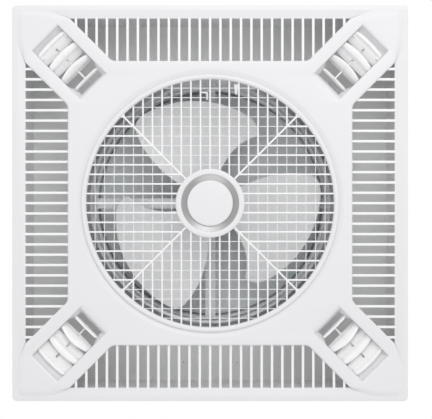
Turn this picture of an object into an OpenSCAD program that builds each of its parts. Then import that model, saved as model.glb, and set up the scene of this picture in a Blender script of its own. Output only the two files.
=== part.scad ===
// Square ceiling exhaust fan for a 600 mm lay-in grid, in its in-use position.
// X runs right and Y runs down as seen from the room below; Z points up into the ceiling.
// The origin is under the middle of the panel, level with its lowest point.

/* [Front panel] */
// outer width of the square front panel
panel_w = 595; // [590:0.5:600]
// outline radius at the panel corners
panel_r = 7; // [3:0.5:15]
// wall thickness of the front moulding
panel_t = 2.5; // [2:0.1:3.5]
// height of the skirt behind the rim front
skirt_h = 14; // [8:0.5:24]
// flat rim between the panel edge and the slot windows
rim_w = 20.3; // [15:0.1:28]
// rim front above the lowest point of the panel
rim_front = 6; // [4:0.5:9]
// front of the raised body above the lowest point
body_front = 2; // [1:0.5:4]
// border of the raised square body outside the grille
body_border = 11.5; // [8:0.5:16]
// width of the diagonal arms of the raised body
arm_w = 94; // [84:1:110]
// gap from the panel edge to the raised corner lobes
lobe_gap = 7.5; // [5:0.5:12]
// rounding where a side of the body meets an arm
armpit_r = 13; // [6:0.5:20]
// bend of the crease where an arm widens into its lobe
lobe_bend_r = 66; // [20:1:70]
// corner rounding of the lobes
lobe_corner_r = 12; // [6:1:20]

/* [Slots] */
// pitch of the slot bars
bar_pitch = 15.5; // [12:0.1:20]
// width of one slot bar
bar_w = 3.8; // [2:0.1:6]
// depth of a slot bar from the rim front
bar_depth = 4; // [3:0.5:8]

/* [Centre grille] */
// gap from the round opening to a corner well
well_gap = 61; // [58:0.5:66]
// width of the rounded bead round the opening
bead_w = 7.5; // [5:0.5:12]
// width of the groove outside the bead
groove_w = 5; // [3:0.5:8]
// gap between the bead and the panel
bead_gap = 0.5; // [0.3:0.1:1.5]
// pitch of the square mesh
mesh_pitch = 14.4; // [10:0.1:20]
// width of the strong mesh bars
mesh_w = 2.2; // [1.5:0.1:4]
// width of the fine cross bars
cross_w = 1.3; // [1:0.1:3]
// front of the mesh above the lowest point
mesh_front = 4; // [4:0.5:6]
// depth of the mesh bars
mesh_depth = 4.5; // [3:0.5:6]
// width of the four diagonal struts
strut_w = 6; // [4:0.5:10]
// thickness of the grille flange behind the panel
flange_t = 2.5; // [2:0.5:4]
// outer radius of the hub plate
hub_r = 51.7; // [40:0.5:60]
// outer radius of the recessed hub ring
hub_ring_r = 43.3; // [36:0.1:50]
// radius of the flat hub cap
hub_cap_r = 34.2; // [25:0.1:40]
// front of the hub plate above the lowest point
hub_front = 1; // [0.5:0.5:3]
// depth of the hub ring below the hub plate
hub_ring_drop = 4; // [2:0.5:5]

/* [Corner louvers] */
// length of a corner well along the diagonal
well_len = 103; // [90:1:110]
// width of a corner well
well_w = 54.6; // [48:0.1:60]
// gap from a well to the corner of its lobe
corner_gap = 60.1; // [56:0.1:66]
// wall of the louver frame
frame_t = 2; // [1.5:0.5:3]
// height of the louver frame behind the panel
frame_h = 21.5; // [18:0.5:30]
// gap between the rounded inner end of a well and the link bar at rest
ramp_gap = 2.9; // [2.2:0.1:6]
// distance from the start of the well to the first vane pivot
first_pivot = 17; // [14:0.5:20]
// pitch of the vane pivots
vane_pitch = 22.7; // [21:0.1:24]
// vane pivots above the lowest point of the panel
pivot_z = 13.2; // [12:0.1:16]
// reach of a vane on each side of its pivot
vane_reach = 10.7; // [8:0.1:11]
// thickness of a vane at its pivot
vane_t = 2.4; // [1.6:0.1:3]
// height of the vane camber
vane_camber = 1.2; // [0:0.1:2]
// bulge of the front edge of a vane
vane_bulge = 2.6; // [0:0.1:4]
// gap between a vane end and the frame wall
vane_gap = 0.8; // [0.4:0.1:1.5]
// gap between a link bar and the notch in a vane
notch_gap = 0.8; // [0.5:0.1:1.5]
// radius of the vane pivot pins
pin_r = 1.5; // [1:0.1:2]
// radial clearance of running pins
run_gap = 0.05; // [0.02:0.01:0.1]
// distance from a vane pivot to its crank pin
crank_r = 8; // [6:0.5:9]
// radius of a crank pin
crank_pin_r = 1.2; // [0.8:0.1:1.6]
// thickness of a crank lug
lug_t = 2; // [1.5:0.1:3]
// width of a crank lug
lug_w = 4.4; // [3.6:0.1:5]
// thickness of a link bar
link_t = 2.4; // [1.6:0.1:3]
// height of a link bar
link_h = 5.2; // [4:0.1:6]
// tilt of the outer vane from the panel plane, in degrees
tilt_a = 14; // [10:1:30]
// tilt of the second vane, in degrees
tilt_b = 20; // [10:1:40]
// tilt of the third vane, in degrees
tilt_c = 45; // [20:1:60]
// tilt of the inner vane, in degrees
tilt_d = 86; // [60:1:90]
// extra tilt of the vanes in the two upper corners, in degrees
upper_turn = 8; // [0:1:10]

/* [Housing] */
// gap from the panel edge to the side of the sheet metal box
box_inset = 16.5; // [14:0.5:18]
// top of the box above the lowest point
box_top = 110; // [90:1:130]
// sheet thickness of the box and the duct
sheet_t = 1.2; // [0.8:0.1:2]
// width of the flange round the open side of the box
box_flange = 12; // [10:0.5:14]
// gap between the panel and the box flange
gasket_t = 4; // [3:0.5:6]
// width of the foam gasket
gasket_w = 4.5; // [3:0.5:5]
// gap from the edge of the grille opening to the duct barrel
duct_inset = 6.8; // [6:0.1:14]
// step from the duct barrel in to the spigot
swage = 2.6; // [0.4:0.1:4]
// top of the spigot above the lowest point
spigot_top = 168; // [166:1:190]
// lower end of the duct inlet
inlet_z = 62; // [55:1:66]
// radius of the rolled inlet lip
lip_r = 8; // [5:0.5:9]
// width of the duct flange
duct_flange_w = 20.8; // [18:0.1:24]
// gap between the duct and the hole in the box
duct_gap = 1.3; // [0.5:0.1:3]
// distance from a hanger hole to the side of the box
hanger_inset = 31; // [28:0.5:40]
// radius of a hanger hole
hanger_hole_r = 4.5; // [3:0.5:5]
// height of a hanger bracket above the box
hanger_h = 14; // [12:1:20]

/* [Motor] */
// outer radius of the motor shells
motor_r = 48; // [40:1:50]
// height of the motor
motor_h = 45; // [40:1:50]
// wall of the motor shells
shell_t = 2; // [1.5:0.5:3]
// radius of the motor shaft
shaft_r = 4; // [3:0.5:6]
// outer radius of the bearings
bearing_r = 11; // [10:0.5:13]
// width of the bearings
bearing_h = 6; // [5:0.5:8]
// underside of the motor mount above the lowest point
mount_z = 108; // [106:1:112]
// thickness of the motor mount
mount_t = 3; // [2:0.5:4]
// width of a motor mount arm
mount_arm_w = 16; // [12:1:24]
// length of the stator core
stator_h = 24; // [18:1:26]
// bore radius of the stator core
stator_bore_r = 26; // [20:0.5:30]
// air gap between rotor and stator
air_gap = 0.6; // [0.3:0.1:1]

/* [Fan] */
// gap between the blade tips and the duct
tip_gap = 5; // [4:0.5:12]
// number of blades
blade_count = 3; // [3:1:4]
// direction of the middle of the first blade at its root, in degrees
blade_start = 8.5; // [0:0.5:120]
// height of the blade middle above the lowest point
blade_z = 84; // [82:1:88]
// angle round the hub that a blade covers at its root, in degrees
blade_arc = 75; // [50:1:80]
// extra angle that a blade covers at its tip, in degrees
blade_spread = 6; // [0:1:8]
// angle by which the middle of a blade leans round from root to tip
blade_sweep = 16; // [0:1:24]
// radius that a blade loses from its leading to its trailing tip corner
tip_slope = 27; // [0:1:32]
// radius that the rounding of a tip corner takes off
tip_round = 16; // [4:1:20]
// blade pitch at the root, in degrees
pitch_root = 28; // [20:1:30]
// blade pitch lost towards the tip, in degrees
pitch_loss = 19; // [18:1:22]
// camber of a blade
blade_camber = 3; // [0:0.5:5]
// thickness of a blade
blade_t = 2.4; // [1.8:0.1:3]
// radius of the blade hub
fan_hub_r = 32; // [26:1:40]
// height of the blade hub
fan_hub_h = 24; // [20:1:26]
// radius of the spinner nut
nut_r = 12; // [9:0.5:16]
// radius of the cross pin through the shaft
cross_pin_r = 1.5; // [1:0.1:2]

/* [Damper] */
// radius of the damper rod
rod_r = 2.5; // [2:0.5:4]
// depth of the damper rod below the top of the spigot
rod_drop = 5.5; // [4:0.5:6]
// thickness of the damper flaps
flap_t = 1; // [0.6:0.1:1.6]
// radial wall of the flap knuckles
knuckle_t = 1.2; // [0.8:0.1:1.6]
// gap between the damper flaps and the duct
flap_gap = 1.5; // [1:0.1:3]
// side gap between the knuckles of the two flaps
knuckle_gap = 0.5; // [0.3:0.1:1]
// width of the ledge that carries the closed flaps
ledge_w = 4; // [3:0.5:6]

/* [Electrical] */
// length of the control box
control_w = 170; // [140:1:200]
// width of the control box
control_d = 72; // [60:1:76]
// height of the control box
control_h = 46; // [40:1:52]
// gap between the spigot and the control box
control_gap = 18.8; // [12:0.1:22]
// distance of a lead clip from the motor, and of the other from the duct
clip_gap = 30; // [20:1:40]
// radius of the motor lead
lead_r = 3; // [2:0.1:4]
// height of the motor lead above the lowest point
lead_z = 118.6; // [118.2:0.1:119]
// bore radius of the cable gland
gland_bore_r = 4; // [3:0.5:6]
// thread radius of the cable gland
gland_thread_r = 8; // [6:0.5:10]

/* [Fasteners] */
// shank radius of the self-tapping screws
screw_r = 1.4; // [1:0.1:2]
// head radius of the self-tapping screws
head_r = 2.8; // [2:0.1:4]
// head height of the self-tapping screws
head_h = 1.6; // [1:0.1:2.5]

/* [Hidden] */
$fn = 64;
eps = 0.01;
over = 1;
body_back = body_front + panel_t;
rim_back = rim_front + panel_t;
rim_in = panel_w / 2 - rim_w;
arm_s = arm_w / sqrt(2);
lobe_half = panel_w / 2 - lobe_gap;
lobe_run = (lobe_half - rim_in) / tan(22.5);
bars_half = floor((rim_in - arm_s) / bar_pitch);
well_start = lobe_half * sqrt(2) - corner_gap - well_len;
open_r = well_start - well_gap;
bead_r = open_r + bead_w;
panel_hole_r = bead_r + bead_gap;
ring_wall_r = panel_hole_r + groove_w + 3;
body_half = ring_wall_r + body_border;
groove_z = body_front + 3;
grille_back = rim_back + flange_t;
hub_ring_z = hub_front + hub_ring_drop;
hub_floor = hub_ring_z + 2;
hub_back = hub_floor + 2;
corner_deg = [225, 315, 45, 135];
vane_span = well_w - 2 * vane_gap;
link_y = link_t / 2;
lug_y = link_y + 1;
frame_top = body_back + frame_h;
ramp_l = first_pivot - link_h / 2 - ramp_gap;
ear_z = body_back + 4;
ear_len = 9;
ear_w = 16;
box_w = panel_w - 2 * box_inset;
box_in = box_w / 2 - sheet_t;
flange_z = rim_back + gasket_t;
roof_z = box_top - sheet_t;
boss_r = 4;
screw_line = box_w / 2 + box_flange - boss_r;
screw_off = 150;
barrel_r = open_r - duct_inset;
duct_in_r = barrel_r - sheet_t;
spigot_r = barrel_r - swage;
spigot_in_r = spigot_r - sheet_t;
step_rise = 16;
step_z = box_top + step_rise;
duct_flange_r = barrel_r + duct_flange_w;
duct_flange_z = roof_z - sheet_t;
duct_screw_r = (barrel_r + duct_flange_r) / 2 + 4;
motor_z = mount_z + mount_t;
motor_top = motor_z + motor_h;
shell_split = motor_z + motor_h / 2;
plate_t = 4;
motor_screw_r = 40;
stator_z = motor_z + 11;
stator_r = motor_r - shell_t;
rotor_r = stator_bore_r - air_gap;
front_seat_z = motor_z + 2;
rear_seat_z = motor_top - 2 - bearing_h;
seat_wall = 3;
blade_r = duct_in_r - tip_gap;
blade_tuck = 8;
blade_in = fan_hub_r - blade_tuck;
lead_share = 0.75;
edge_t = 0.4;
cross_len = 20;
hub_z = blade_z - fan_hub_h / 2;
nut_z = hub_z - 12;
rod_z = spigot_top - rod_drop;
knuckle_r = rod_r + run_gap + knuckle_t;
flap_r = spigot_in_r - flap_gap;
ledge_z = rod_z - flap_t / 2;
shaft_z = nut_z + 4;
cross_z = hub_z + fan_hub_h - cross_pin_r;
tab_h = 15;
tab_t = 2;
mount_screw_z = mount_z - 6;
control_y = barrel_r + control_gap;
control_mid = control_y + control_d / 2;
control_top = box_top + control_h;
lid_lip = 8;
post_r = 4.5;
post_inset = 6;
post_drill = 10;
foot_inset = 18;
capacitor_inset = 9;
capacitor_size = [48, 24, 32];
terminal_pitch = 9;
terminal_d = 16;
terminal_h = 14;
terminal_hole_r = 2.2;
gland_nut = 5;
gland_body = 14;
grommet_lip = 1.5;
clip_w = 10;
clip_len = 8;
core_r = 0.7;
core_len = 13;
gland_along = 49;
gland_rise = 24;
gland_y = control_y + gland_along;
gland_z = box_top + gland_rise;
hanger_c = box_w / 2 - hanger_inset;
bracket_t = 2;
bracket_foot = 24;
bracket_w = 36;
bracket_web = 14;
bracket_off = 7;
bracket_screw = 10;
grille_screw_r = bead_r + groove_w / 2 + 2;

white = [0.93, 0.93, 0.94];
steel = [0.62, 0.64, 0.66];

function unit(v) = v / norm(v);
function left_of(v) = [-v.y, v.x];
function turned(v, q) = [v.x * cos(q) - v.y * sin(q), v.x * sin(q) + v.y * cos(q)];
function bend(a, p, b) =
    let (d = unit(p - a), e = unit(b - p))
    atan2(d.x * e.y - d.y * e.x, d * e);

// corner p of a loop moved inwards by t, between its neighbours a and b
function inset_corner(a, p, b, t) =
    let (m = left_of(unit(p - a)), n = left_of(unit(b - p)))
    p + t * (m + n) / (1 + m * n);

// arc that rounds corner p by radius r
function corner_arc(a, p, b, r, steps) =
    let (
        q = bend(a, p, b),
        d = unit(p - a),
        start = p - d * r * tan(abs(q) / 2),
        c = start + sign(q) * r * left_of(d)
    )
    [for (j = [0:steps]) c + turned(start - c, q * j / steps)];

// loop of [x, y, radius] corners, counter-clockwise, moved inwards by t and rounded
function round_loop(pts, t, steps) =
    let (
        n = len(pts),
        p = [for (v = pts) [v[0], v[1]]],
        q = [for (i = [0:n - 1]) inset_corner(p[(i + n - 1) % n], p[i], p[(i + 1) % n], t)]
    )
    [for (i = [0:n - 1])
        let (
            a = q[(i + n - 1) % n],
            b = q[(i + 1) % n],
            r = max(pts[i][2] - sign(bend(a, q[i], b)) * t, 0.3)
        )
        each corner_arc(a, q[i], b, r, steps)];

function quarter_copies(pts) =
    [for (k = [0:3], v = pts) let (w = turned([v[0], v[1]], 90 * k)) [w.x, w.y, v[2]]];

function body_loop() = quarter_copies([
    [body_half, body_half - arm_s, armpit_r],
    [rim_in, rim_in - arm_s, 5],
    [lobe_half, rim_in - arm_s + lobe_run, lobe_bend_r],
    [lobe_half, lobe_half, lobe_corner_r],
    [rim_in - arm_s + lobe_run, lobe_half, lobe_bend_r],
    [rim_in - arm_s, rim_in, 5],
    [body_half - arm_s, body_half, armpit_r]
]);

function window_loop() = [
    [body_half, body_half - arm_s, armpit_r],
    [body_half, arm_s - body_half, armpit_r],
    [rim_in, arm_s - rim_in, 1],
    [rim_in, rim_in - arm_s, 1]
];

module body_shape(t = 0) {
    polygon(round_loop(body_loop(), t, 5));
}

module window_shape(t = 0) {
    polygon(round_loop(window_loop(), t, 5));
}

module round_square(w, r) {
    h = w / 2;
    polygon(round_loop(quarter_copies([[h, h, r]]), 0, 6));
}

module slots_shape() {
    intersection() {
        window_shape();
        for (k = [-bars_half - 1:bars_half])
            translate([body_half - over, k * bar_pitch + bar_w / 2])
                square([rim_in - body_half + 2 * over, bar_pitch - bar_w]);
    }
}

module quarter_turns() {
    for (k = [0:3])
        rotate([0, 0, 90 * k])
            children();
}

module at_corner(k) {
    rotate([0, 0, corner_deg[k - 1]])
        children();
}

module corners() {
    for (k = [1:4])
        at_corner(k)
            children();
}

module tube(r_out, r_in, h) {
    difference() {
        cylinder(r = r_out, h = h);
        translate([0, 0, -over])
            cylinder(r = r_in, h = h + 2 * over);
    }
}

module screw(length) {
    cylinder(r = head_r, h = head_h);
    translate([0, 0, -length])
        cylinder(r = screw_r, h = length + eps);
}

module panel_screw_places() {
    quarter_turns()
        for (s = [-1, 1])
            translate([screw_line, s * screw_off, 0])
                children();
}

module louver_screw_places() {
    for (x = [well_start - frame_t - ear_len / 2, well_start + well_len + frame_t + ear_len / 2])
        translate([x, 0, 0])
            children();
}

module ring_places(r, n, start) {
    for (k = [0:n - 1])
        rotate([0, 0, start + 360 / n * k])
            translate([r, 0, 0])
                children();
}

module front_panel() {
    color(white)
        difference() {
            union() {
                translate([0, 0, rim_front])
                    linear_extrude(panel_t)
                        round_square(panel_w, panel_r);
                translate([0, 0, rim_front])
                    linear_extrude(skirt_h)
                        difference() {
                            round_square(panel_w, panel_r);
                            round_square(panel_w - 2 * panel_t, panel_r - panel_t);
                        }
                translate([0, 0, body_front])
                    linear_extrude(rim_back - body_front)
                        body_shape();
                translate([0, 0, rim_front])
                    linear_extrude(bar_depth)
                        quarter_turns()
                            window_shape(-over);
                translate([0, 0, rim_back - eps])
                    panel_screw_places()
                        cylinder(r = boss_r, h = gasket_t + eps);
            }
            translate([0, 0, body_back])
                linear_extrude(skirt_h)
                    difference() {
                        body_shape(panel_t);
                        circle(r = ring_wall_r);
                        corners()
                            louver_screw_places()
                                circle(r = boss_r);
                    }
            translate([0, 0, body_front - over])
                linear_extrude(skirt_h)
                    quarter_turns()
                        slots_shape();
            translate([0, 0, body_front - over])
                cylinder(r = panel_hole_r, h = skirt_h, $fn = 128);
            translate([0, 0, body_front - over])
                cylinder(r = panel_hole_r + groove_w, h = groove_z - body_front + over, $fn = 128);
            translate([0, 0, body_front - over])
                corners()
                    translate([well_start, -well_w / 2, 0])
                        cube([well_len, well_w, skirt_h]);
            translate([0, 0, rim_front + panel_t / 2])
                panel_screw_places()
                    cylinder(r = screw_r, h = skirt_h);
            translate([0, 0, body_back - panel_t / 2])
                corners()
                    louver_screw_places()
                        cylinder(r = screw_r, h = skirt_h);
            translate([0, 0, groove_z + panel_t / 2])
                ring_places(grille_screw_r, 8, 22.5)
                    cylinder(r = screw_r, h = skirt_h);
        }
}

module mesh_shape() {
    lines = floor(open_r / mesh_pitch);
    intersection() {
        circle(r = open_r + bead_w / 2, $fn = 128);
        for (q = [0:3])
            rotate(90 * q)
                intersection() {
                    polygon([[0, 0], [open_r * 2, -open_r * 2], [open_r * 2, open_r * 2]]);
                    union() {
                        for (k = [-lines:lines])
                            translate([0, k * mesh_pitch - mesh_w / 2])
                                square([open_r + bead_w, mesh_w]);
                        for (k = [1:lines])
                            translate([k * mesh_pitch - cross_w / 2, -open_r])
                                square([cross_w, 2 * open_r]);
                    }
                }
    }
    for (k = [1:4])
        rotate(corner_deg[k - 1])
            translate([0, -strut_w / 2])
                square([open_r + bead_w / 2, strut_w]);
}

module centre_grille() {
    crest = bead_w / 2;
    color(white)
        difference() {
            union() {
                translate([0, 0, mesh_front])
                    linear_extrude(mesh_depth)
                        difference() {
                            mesh_shape();
                            circle(r = hub_r - over);
                        }
                rotate_extrude($fn = 128)
                    polygon([
                        [open_r, grille_back],
                        for (q = [0:15:180]) [open_r + crest - crest * cos(q), crest - crest * sin(q)],
                        [bead_r, rim_back],
                        [ring_wall_r, rim_back],
                        [ring_wall_r, grille_back]
                    ]);
                rotate_extrude()
                    polygon([
                        [0, hub_floor],
                        [hub_ring_r, hub_floor],
                        [hub_ring_r, hub_front + 0.6],
                        [hub_ring_r + 0.6, hub_front],
                        [hub_r - 1.5, hub_front],
                        [hub_r, hub_front + 1.5],
                        [hub_r, hub_back],
                        [0, hub_back]
                    ]);
            }
            translate([0, 0, rim_back - over])
                ring_places(grille_screw_r, 8, 22.5)
                    cylinder(r = screw_r, h = flange_t + 2 * over);
        }
}

module hub_ring() {
    color([0.7, 0.71, 0.72])
        rotate_extrude()
            polygon([
                [hub_cap_r, hub_floor],
                [hub_cap_r, hub_ring_z],
                [hub_ring_r, hub_ring_z - 1.5],
                [hub_ring_r, hub_floor]
            ]);
}

module hub_cap() {
    color(white)
        difference() {
            union() {
                translate([0, 0, hub_front + 1])
                    cylinder(r = hub_cap_r, h = hub_floor - hub_front - 1);
                translate([0, 0, hub_front])
                    cylinder(r1 = hub_cap_r - 1, r2 = hub_cap_r, h = 1 + eps);
            }
            translate([0, 0, hub_front + 2])
                cylinder(r = hub_cap_r - 2, h = hub_floor);
        }
}

module louver_frame(k) {
    color(white)
        at_corner(k)
            difference() {
                union() {
                    translate([well_start - frame_t, -well_w / 2 - frame_t, body_back])
                        cube([well_len + 2 * frame_t, well_w + 2 * frame_t, frame_h]);
                    louver_screw_places()
                        translate([-ear_len / 2 - over / 2, -ear_w / 2, ear_z])
                            cube([ear_len + over, ear_w, frame_t]);
                }
                difference() {
                    translate([well_start, -well_w / 2, body_back - over])
                        cube([well_len, well_w, frame_h + 2 * over]);
                    translate([0, well_w, 0])
                        rotate([90, 0, 0])
                            linear_extrude(2 * well_w)
                                polygon([
                                    [well_start - over, body_back],
                                    for (q = [0:15:90])
                                        [well_start + ramp_l * sin(q), frame_top - frame_h * cos(q)],
                                    [well_start - over, frame_top]
                                ]);
                }
                for (i = [0:3])
                    translate([pivot_x(i), 0, pivot_z])
                        rotate([90, 0, 0])
                            cylinder(r = pin_r + run_gap, h = 2 * well_w, center = true, $fn = 32);
                translate([0, 0, ear_z - over])
                    louver_screw_places()
                        cylinder(r = screw_r, h = frame_t + 2 * over);
            }
}

// place 0 is the outer vane of a corner, 3 the inner one
function pivot_x(i) = well_start + first_pivot + (3 - i) * vane_pitch;
function tilt(k, i) = [tilt_a, tilt_b, tilt_c, tilt_d][i] + (k <= 2 && i < 3 ? upper_turn : 0);
function camber(x) = vane_camber * (1 - pow(x / vane_reach, 2));
function half_t(x) = 0.5 + (vane_t / 2 - 0.5) * (1 - pow(x / vane_reach, 2));

module vane_blade() {
    n = 8;
    notch = -vane_reach - over;
    notch_half = link_y + notch_gap;
    notch_end = crank_r - link_h / 2 - 2 * notch_gap;
    bow = vane_reach - vane_bulge;
    difference() {
        intersection() {
            rotate([90, 0, 0])
                linear_extrude(vane_span, center = true)
                    polygon([
                        for (i = [-n:n]) let (x = vane_reach * i / n) [x, -camber(x) - half_t(x)],
                        for (i = [n:-1:-n]) let (x = vane_reach * i / n) [x, half_t(x) - camber(x)]
                    ]);
            translate([0, 0, -vane_reach])
                linear_extrude(2 * vane_reach)
                    polygon([
                        [-vane_reach - over, -vane_span],
                        [bow, -vane_span],
                        for (j = [-n:n]) [bow + vane_bulge * (1 - pow(j / n, 2)), vane_span / 2 * j / n],
                        [bow, vane_span],
                        [-vane_reach - over, vane_span]
                    ]);
        }
        translate([notch, -notch_half, -vane_reach])
            cube([-notch_end - notch, 2 * notch_half, 2 * vane_reach]);
    }
}

module vane(k, i) {
    color(white)
        at_corner(k)
            translate([pivot_x(i), 0, pivot_z]) {
                rotate([0, tilt(k, i), 0])
                    vane_blade();
                for (s = [-1, 1])
                    rotate([90 * s, 0, 0]) {
                        translate([0, 0, vane_span / 2 - 4])
                            cylinder(r = pin_r, h = vane_gap + frame_t + 4, $fn = 32);
                        translate([0, 0, vane_span / 2 - 4])
                            cylinder(r = pin_r + 0.9, h = 4, $fn = 32);
                    }
                translate([-lug_w / 2, -lug_y - lug_t, 0])
                    cube([lug_w, lug_t, crank_r]);
                translate([0, -lug_y - lug_t, crank_r])
                    rotate([-90, 0, 0])
                        cylinder(r = lug_w / 2, h = lug_t, $fn = 32);
                translate([0, -lug_y - eps, crank_r])
                    rotate([-90, 0, 0])
                        cylinder(r = crank_pin_r, h = 2 * link_y + 2, $fn = 32);
            }
}

module link_bar(k) {
    x0 = pivot_x(3);
    x1 = pivot_x(0);
    color([0.86, 0.87, 0.88])
        at_corner(k)
            translate([0, link_t / 2, pivot_z + crank_r])
                rotate([90, 0, 0])
                    linear_extrude(link_t)
                        difference() {
                            union() {
                                translate([x0, -link_h / 2])
                                    square([x1 - x0, link_h]);
                                for (x = [x0, x1])
                                    translate([x, 0])
                                        circle(r = link_h / 2);
                            }
                            for (i = [0:3])
                                translate([pivot_x(i), 0])
                                    circle(r = crank_pin_r + run_gap, $fn = 32);
                        }
}

module duct_screw_places() {
    ring_places(duct_screw_r, 8, 22.5)
        children();
}

module box_foot_places() {
    quarter_turns()
        for (s = [-1, 1])
            translate([
                hanger_c - bracket_web - bracket_foot + 6,
                hanger_c - bracket_off + s * bracket_screw,
                0
            ])
                children();
}

module control_foot_places() {
    for (s = [-1, 1])
        translate([s * control_w / 4, control_y + control_d - foot_inset, 0])
            children();
}

module back_box() {
    h = box_w / 2;
    f = h + box_flange;
    color(steel)
        difference() {
            translate([-f, -f, flange_z])
                cube([2 * f, 2 * f, box_top - flange_z]);
            for (q = [0:3])
                rotate([0, 0, 90 * q])
                    translate([h, -2 * f, flange_z + sheet_t])
                        cube([2 * box_flange, 4 * f, box_top]);
            translate([-box_in, -box_in, flange_z - over])
                cube([2 * box_in, 2 * box_in, roof_z - flange_z + over]);
            translate([0, 0, roof_z - over])
                cylinder(r = barrel_r + duct_gap, h = sheet_t + 2 * over, $fn = 128);
            translate([0, 0, flange_z - over])
                panel_screw_places()
                    cylinder(r = screw_r, h = sheet_t + 2 * over);
            translate([0, 0, roof_z - over]) {
                duct_screw_places()
                    cylinder(r = screw_r, h = sheet_t + 2 * over);
                box_foot_places()
                    cylinder(r = screw_r, h = sheet_t + 2 * over);
                control_foot_places()
                    cylinder(r = screw_r, h = sheet_t + 2 * over);
            }
        }
}

module box_gasket() {
    w = box_in * 2 - 0.6;
    color([0.2, 0.2, 0.21])
        translate([0, 0, rim_back])
            linear_extrude(gasket_t)
                difference() {
                    square(w + 2 * gasket_w, center = true);
                    square(w, center = true);
                }
}

module fan_duct() {
    lip = lip_r - sheet_t;
    centre = duct_in_r + lip_r;
    color(steel)
        difference() {
            rotate_extrude($fn = 128)
                polygon([
                    for (q = [90:-15:0]) [centre - lip_r * cos(q), inlet_z + lip_r - lip_r * sin(q)],
                    [duct_in_r, step_z],
                    [spigot_in_r, step_z + swage],
                    [spigot_in_r, ledge_z - sheet_t],
                    [spigot_in_r - ledge_w, ledge_z - sheet_t],
                    [spigot_in_r - ledge_w, ledge_z],
                    [spigot_in_r, ledge_z],
                    [spigot_in_r, spigot_top],
                    [spigot_r, spigot_top],
                    [spigot_r, step_z + swage],
                    [barrel_r, step_z],
                    for (q = [0:15:90]) [centre - lip * cos(q), inlet_z + lip_r - lip * sin(q)]
                ]);
            translate([0, 0, mount_screw_z])
                mount_screw_places()
                    cylinder(r = screw_r, h = 4 * tab_t, center = true);
            translate([0, duct_in_r, lead_z])
                rotate([90, 0, 0])
                    cylinder(r = lead_r + 2, h = 8 * sheet_t, center = true, $fn = 32);
            intersection() {
                cylinder(r = spigot_in_r, h = rod_z, $fn = 128);
                translate([-spigot_r, -knuckle_r - over, rod_z - knuckle_r - over])
                    cube([2 * spigot_r, 2 * (knuckle_r + over), 2 * knuckle_r]);
            }
            translate([0, 0, rod_z])
                rotate([0, 90, 0])
                    cylinder(r = rod_r, h = 4 * spigot_r, center = true, $fn = 32);
        }
}

module duct_flange() {
    color(steel)
        difference() {
            translate([0, 0, duct_flange_z])
                tube(duct_flange_r, barrel_r, sheet_t, $fn = 128);
            translate([0, 0, duct_flange_z - over])
                duct_screw_places()
                    cylinder(r = screw_r, h = sheet_t + 2 * over);
        }
}

module duct_screws() {
    color(steel) {
        translate([0, 0, duct_flange_z])
            duct_screw_places()
                rotate([180, 0, 0])
                    screw(2 * sheet_t);
        translate([0, 0, mount_screw_z])
            mount_screw_places()
                screw(sheet_t + tab_t);
    }
}

module panel_screws() {
    color(steel) {
        translate([0, 0, flange_z + sheet_t])
            panel_screw_places()
                screw(flange_z + sheet_t - rim_front - panel_t / 2);
        translate([0, 0, grille_back])
            ring_places(grille_screw_r, 8, 22.5)
                screw(grille_back - groove_z - panel_t / 2);
        translate([0, 0, ear_z + frame_t])
            corners()
                louver_screw_places()
                    screw(ear_z + frame_t - body_back + panel_t / 2);
    }
}

module hanger_brackets() {
    t = bracket_t;
    color(steel)
        difference() {
            quarter_turns()
                translate([hanger_c - bracket_web, hanger_c + bracket_w / 2 - bracket_off, box_top])
                    rotate([90, 0, 0])
                        linear_extrude(bracket_w)
                            polygon([
                                [-bracket_foot, 0],
                                [t, 0],
                                [t, hanger_h - t],
                                [bracket_foot + t, hanger_h - t],
                                [bracket_foot + t, hanger_h],
                                [0, hanger_h],
                                [0, t],
                                [-bracket_foot, t]
                            ]);
            quarter_turns()
                translate([hanger_c, hanger_c, box_top])
                    cylinder(r = hanger_hole_r, h = 2 * hanger_h);
            translate([0, 0, box_top - over])
                box_foot_places()
                    cylinder(r = screw_r, h = 4 * t);
        }
}

module roof_screws() {
    color(steel) {
        translate([0, 0, box_top + bracket_t])
            box_foot_places()
                screw(bracket_t + sheet_t);
        translate([0, 0, box_top + sheet_t])
            control_foot_places()
                screw(2 * sheet_t);
        translate([0, 0, control_top + sheet_t])
            control_post_places()
                screw(sheet_t + 0.8 * post_drill);
    }
}

module motor_mount() {
    arm_len = duct_in_r - motor_r + over;
    color(steel)
        difference() {
            union() {
                translate([0, 0, mount_z])
                    cylinder(r = motor_r + 4, h = mount_t);
                intersection() {
                    translate([0, 0, mount_z])
                        quarter_turns()
                            translate([motor_r, -mount_arm_w / 2, 0])
                                cube([arm_len, mount_arm_w, mount_t]);
                    cylinder(r = duct_in_r, h = box_top * 2, $fn = 128);
                }
                intersection() {
                    translate([0, 0, mount_z + mount_t - tab_h])
                        quarter_turns()
                            translate([duct_in_r - tab_t, -mount_arm_w / 2, 0])
                                cube([2 * tab_t, mount_arm_w, tab_h]);
                    cylinder(r = duct_in_r, h = box_top * 2, $fn = 128);
                }
            }
            translate([0, 0, mount_z - over])
                cylinder(r = motor_r / 2, h = mount_t + 2 * over);
            translate([0, 0, mount_z - over])
                ring_places(motor_screw_r, 4, 45)
                    cylinder(r = screw_r, h = mount_t + 2 * over);
            translate([0, 0, mount_screw_z])
                mount_screw_places()
                    cylinder(r = screw_r, h = 4 * tab_t, center = true);
        }
}

module mount_screw_places() {
    quarter_turns()
        translate([barrel_r, 0, 0])
            rotate([0, 90, 0])
                children();
}

module motor_screws() {
    color(steel)
        translate([0, 0, mount_z])
            ring_places(motor_screw_r, 4, 45)
                rotate([180, 0, 0])
                    screw(mount_t + plate_t);
}

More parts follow.
